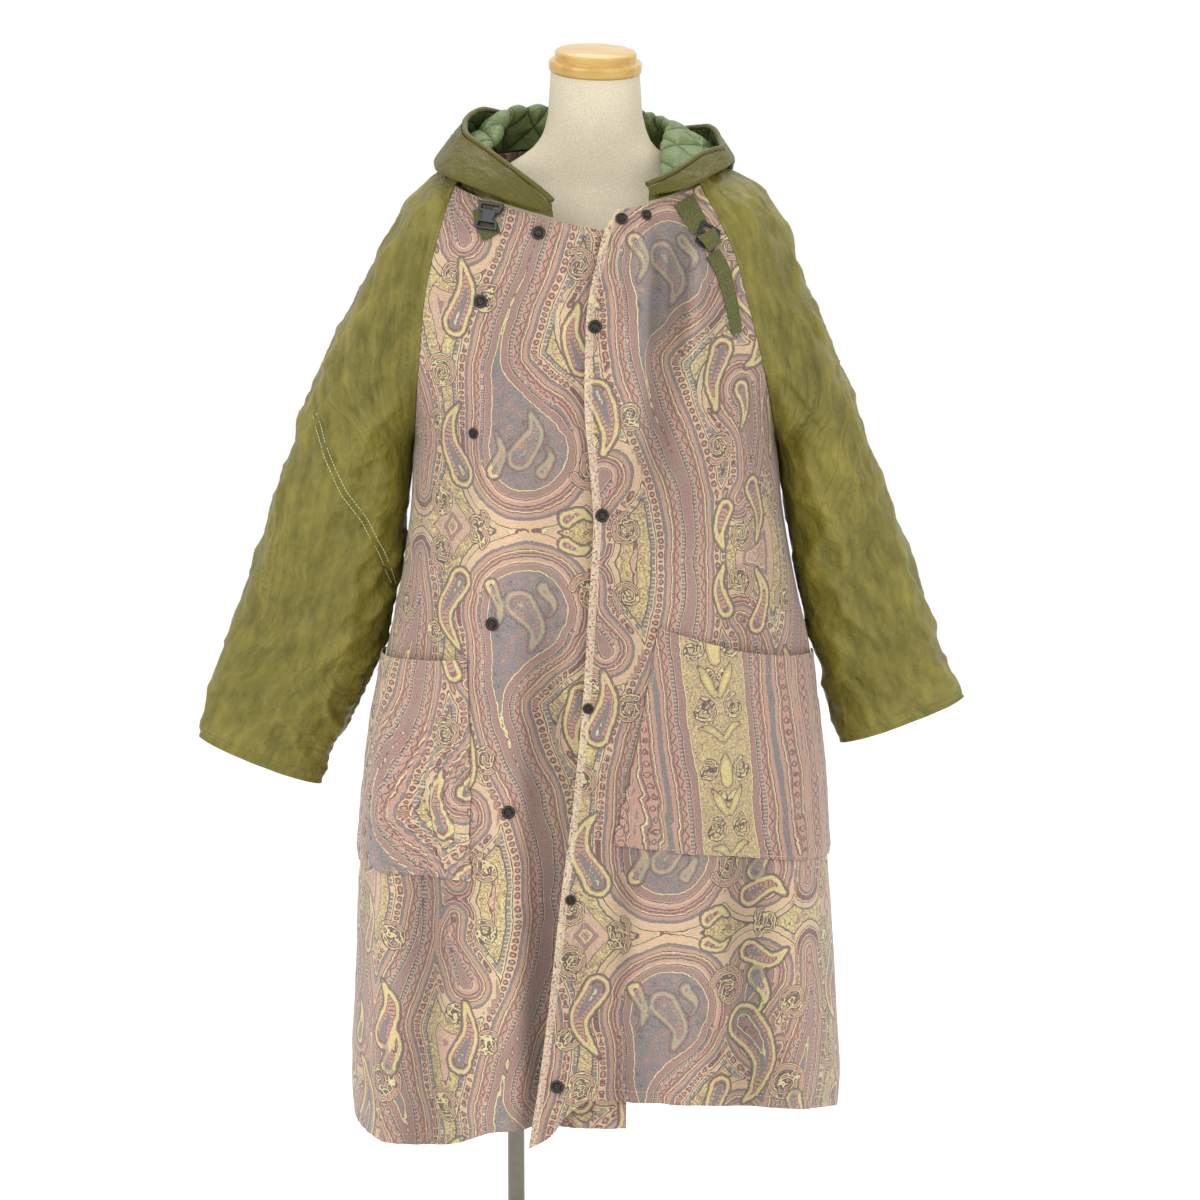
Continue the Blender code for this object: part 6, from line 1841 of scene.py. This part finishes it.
def make_body(shawl, nylon):
    """The cut pieces as objects. Returns their sheets by node and the fronts' distances from the middle."""
    right, right_u = fine_front("right")
    left, left_u = fine_front("left")
    back, back_u = fine_back()
    sleeves = [fine_sleeve("right"), fine_sleeve("left")]
    join_seams([right, left, back], sleeves)
    sheets = dict(zip([piece[0] for piece in CUT_PIECES], (right, left, back, *sleeves)))
    made = {node: sheet_wall(sheet, nylon if sheet in sleeves else shawl) for node, sheet in sheets.items()}
    paint_cloth(made["front_right"], 80 - right_u, right.grid[..., 2] - 1039, tone=1.04, rise=right.rise)
    paint_cloth(made["front_left"], left_u - 84, left.grid[..., 2] - 574,
                edge=np.abs(left_u - left_u[:, -1:]), tone=0.96, rise=left.rise)
    paint_cloth(made["back"], 60 - back_u, back.grid[..., 2] - 860, rise=back.rise)
    for sheet, node, side in zip(sleeves, ("sleeve_right", "sleeve_left"), (-1, 1)):
        # the same woven cloth lines the sleeves
        mesh = made[node].data
        mesh.materials.append(shawl)
        for face in mesh.polygons[:4 * len(sheet.quads)]:
            face.material_index = int(face.index % 4 > 1)
        girth = walk_down(np.swapaxes(sheet.grid, 0, 1)).T
        drop = walk(sheet.grid.mean(axis=1))[:, None] + 0 * girth
        across, up = side * (girth - 40), 700 - drop
        paint_cloth(made[node], across.reshape(-1)[sheet.used], up.reshape(-1)[sheet.used], rise=sheet.rise)
    for node, slot, (width, length) in CUT_PIECES:
        sheet, obj = sheets[node], made[node]
        stand_for(obj, node)
    return sheets, {"right": (right.grid, right_u), "left": (left.grid, left_u)}


def make_pockets(fronts, shawl):
    """Both pockets as objects. Returns each one's face and normals."""
    right, right_face, right_u, right_normals = fine_pocket("right", *fronts["right"], POCKET_RIGHT, shawl)
    left, left_face, left_u, left_normals = fine_pocket("left", *fronts["left"], POCKET_LEFT, shawl)
    paint_cloth(right, 236 - right_u, right_face[..., 2] - 500, tone=1.14)
    slanting = left_u - 148 + 0.12 * (left_face[..., 2] - 760)
    paint_cloth(left, slanting, left_face[..., 2] - 640, "stripes", tone=0.98)
    for obj, side in ((right, "right"), (left, "left")):
        stand_for(obj, "pocket_" + side)
    return {"right": (right_face, right_normals), "left": (left_face, left_normals)}


STRAPS = (
    ("tab_right", "right", TAB_RIGHT, 1.8), ("tab_left", "left", TAB_LEFT, 1.8),
    ("loop_left", "left", LOOP_LEFT, 1.6), ("tail_left", "left", TAIL_LEFT, 1.8),
)
PLATES = (
    ("buckle_right", "right", BUCKLE_RIGHT, BUCKLE_RIGHT_CELLS, BUCKLE_RIGHT_ROWS),
    ("lock_left", "left", LOCK_LEFT, LOCK_LEFT_CELLS, LOCK_LEFT_ROWS),
)


def make_fittings(fronts, black, webbing, plastic):
    """Snaps, straps and buckle parts."""
    for number, (side, x, z, size) in enumerate(SNAPS, 1):
        node = "snap_%s_%d" % (side, number)
        stand_for(fine_snap("ring_" + node, *fronts[side], x, z, size, black), node)
    for node, side, path, thickness in STRAPS:
        strap = fine_strap("webbing_" + node, *fronts[side], path, thickness, webbing)
        stand_for(strap, node)
    for node, side, *shape in PLATES:
        stand_for(fine_plate("moulded_" + node, *fronts[side], *shape, plastic), node)


def make_hood(nylon, quilt, thread):
    lining, shell, rim = fine_hood(coarse_neckline(), nylon, quilt, nylon, thread)
    stand_for(lining, "hood_lining")
    stand_for(shell, "hood_shell")
    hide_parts("hood_rim")


def sew(sheets, pockets, pale, olive, pink):
    """All rows of stitches except the hood's."""
    for name in ("right", "left"):
        surface = sheets["front_" + name].surface()
        for row, side, distance in (("edge", "last", EDGE_STITCHES), ("placket", "last", PLACKET_STITCHES),
                                    ("hem", "foot", HEM_STITCHES), ("neck", "top", NECK_STITCHES)):
            stitches("%s_stitches_%s" % (row, name), *inset(*surface, side, distance), pink)
    stitches("hem_stitches_back", *inset(*sheets["back"].surface(), "foot", HEM_STITCHES), pink)
    for name, surface in pockets.items():
        for side in ("first", "last", "foot"):
            row = "pocket_stitches_%s_%s" % (name, side)
            stitches(row, *inset(*surface, side, POCKET_STITCHES), pink)
        stitches("pocket_mouth_stitches_" + name, *inset(*surface, "top", POCKET_MOUTH_STITCHES), pink)
    for name in ("right", "left"):
        surface = sheets["sleeve_" + name].surface()
        stitches("cuff_stitches_" + name, *inset(*surface, "foot", HEM_STITCHES), olive)
        cap_end = (FINE_CAP - 1) / (len(surface[0]) - 1)
        for row, side in (("front", "first"), ("back", "last")):
            line = inset(*surface, side, RAGLAN_STITCHES, 0.0, cap_end)
            stitches("raglan_%s_stitches_%s" % (row, name), *line, olive)
    surface = sheets["sleeve_right"].surface()
    line, up = seam_path(*surface, SLANT_SEAM)
    aside = unit(np.cross(np.gradient(line, axis=0), up))
    for name, offset in (("upper", -SLANT_STITCHES), ("lower", SLANT_STITCHES)):
        row = seam_path(*surface, (line + offset * aside)[:, [0, 2]])
        stitches("slant_stitches_" + name, *row, pale, 3.4, 0.9, 0.62, -0.3)


def main():
    shawl = shawl_cloth()
    nylon = nylon_cloth("olive_nylon_sleeve", rgb(76, 72, 16), rgb(142, 132, 55), faint=0.22, scale=17.0)
    hood_nylon = nylon_cloth("olive_nylon_hood", rgb(44, 44, 4), rgb(104, 96, 22), scale=12.0)
    quilt = nylon_cloth("green_quilt_nylon", rgb(72, 92, 46), rgb(124, 140, 92), scale=16.0, quilted=True)
    linen = plain_cloth("form_linen_weave", rgb(186, 175, 150), rgb(212, 202, 178), 0.0016)
    wood = cap_wood()
    steel = metal("stand_steel_brushed", rgb(112, 106, 96), 0.22)
    black = metal("snap_black", rgb(60, 57, 54), 0.3, 0.9)
    plastic = metal("buckle_black", rgb(15, 15, 17), 0.38, 0.0)
    webbing = webbing_cloth()
    thread_pale = plain_cloth("thread_pale", rgb(168, 172, 118), rgb(206, 206, 156), 0.0006)
    thread_olive = plain_cloth("thread_olive", rgb(92, 86, 36), rgb(124, 116, 56), 0.0006)
    thread_pink = plain_cloth("thread_pink", rgb(172, 140, 124), rgb(206, 178, 158), 0.0006)
    sheets, fronts = make_body(shawl, nylon)
    pockets = make_pockets(fronts, shawl)
    make_fittings(fronts, black, webbing, plastic)
    make_hood(hood_nylon, quilt, thread_olive)
    nodes = (("form_torso", "form_linen"), ("form_cap", "cap_wood"),
             ("stand_pole", "stand_steel"), ("stand_base", "stand_steel"))
    for obj, (node, slot) in zip(fine_form(linen, wood, steel), nodes):
        stand_for(obj, node)
    sew(sheets, pockets, thread_pale, thread_olive, thread_pink)
    set_stage()


# name, place, target, size and power
LIGHTS = (
    ("key", (-2.2, -3.0, 3.2), (0, 0, 1.0), 2.4, 60), ("fill", (2.6, -2.8, 2.0), (0, 0, 0.9), 2.6, 34),
    ("top", (0.2, 0.6, 3.6), (0, 0, 1.2), 2.0, 36),
)
FLOOR = ((-20, -8, 0), (20, -8, 0), (20, 30, 0), (-20, 30, 0))
FLOOR_COLOUR = (0.98, 0.98, 0.98, 1)
WORLD_STRENGTH = 1.02
CAMERA_PLACE = (0.0036, -3.55, 1.50)
CAMERA_TARGET = (0.0036, 0, 0.934)
CAMERA_LENS = 89.9
CAMERA_SENSOR = 36.0


def place_at(name, data, place, target):
    """Puts a light or a camera at a place, turned to a target."""
    obj = bpy.data.objects.new(name, data)
    obj.location = place
    obj.rotation_euler = (Vector(target) - Vector(place)).to_track_quat("-Z", "Y").to_euler()
    bpy.context.scene.collection.objects.link(obj)
    return obj


def set_stage():
    floor = bpy.data.meshes.new("studio_floor")
    floor.from_pydata(FLOOR, [], [(0, 1, 2, 3)])
    floor = bpy.data.objects.new("studio_floor", floor)
    bpy.context.scene.collection.objects.link(floor)
    pale = bpy.data.materials.new("studio_pale")
    pale.use_nodes = True
    shader = pale.node_tree.nodes["Principled BSDF"]
    shader.inputs["Base Color"].default_value = FLOOR_COLOUR
    shader.inputs["Roughness"].default_value = 0.9
    floor.data.materials.append(pale)
    world = bpy.data.worlds.new("studio")
    world.use_nodes = True
    background = world.node_tree.nodes["Background"]
    background.inputs["Color"].default_value = (1, 1, 1, 1)
    background.inputs["Strength"].default_value = WORLD_STRENGTH
    bpy.context.scene.world = world
    for name, place, target, size, power in LIGHTS:
        light = bpy.data.lights.new(name, "AREA")
        light.size = size
        light.energy = power
        place_at(name, light, place, target)
    camera = bpy.data.cameras.new("camera")
    camera.lens = CAMERA_LENS
    camera.sensor_width = CAMERA_SENSOR
    bpy.context.scene.camera = place_at("camera", camera, CAMERA_PLACE, CAMERA_TARGET)
    bpy.context.scene.view_settings.view_transform = "Standard"


main()
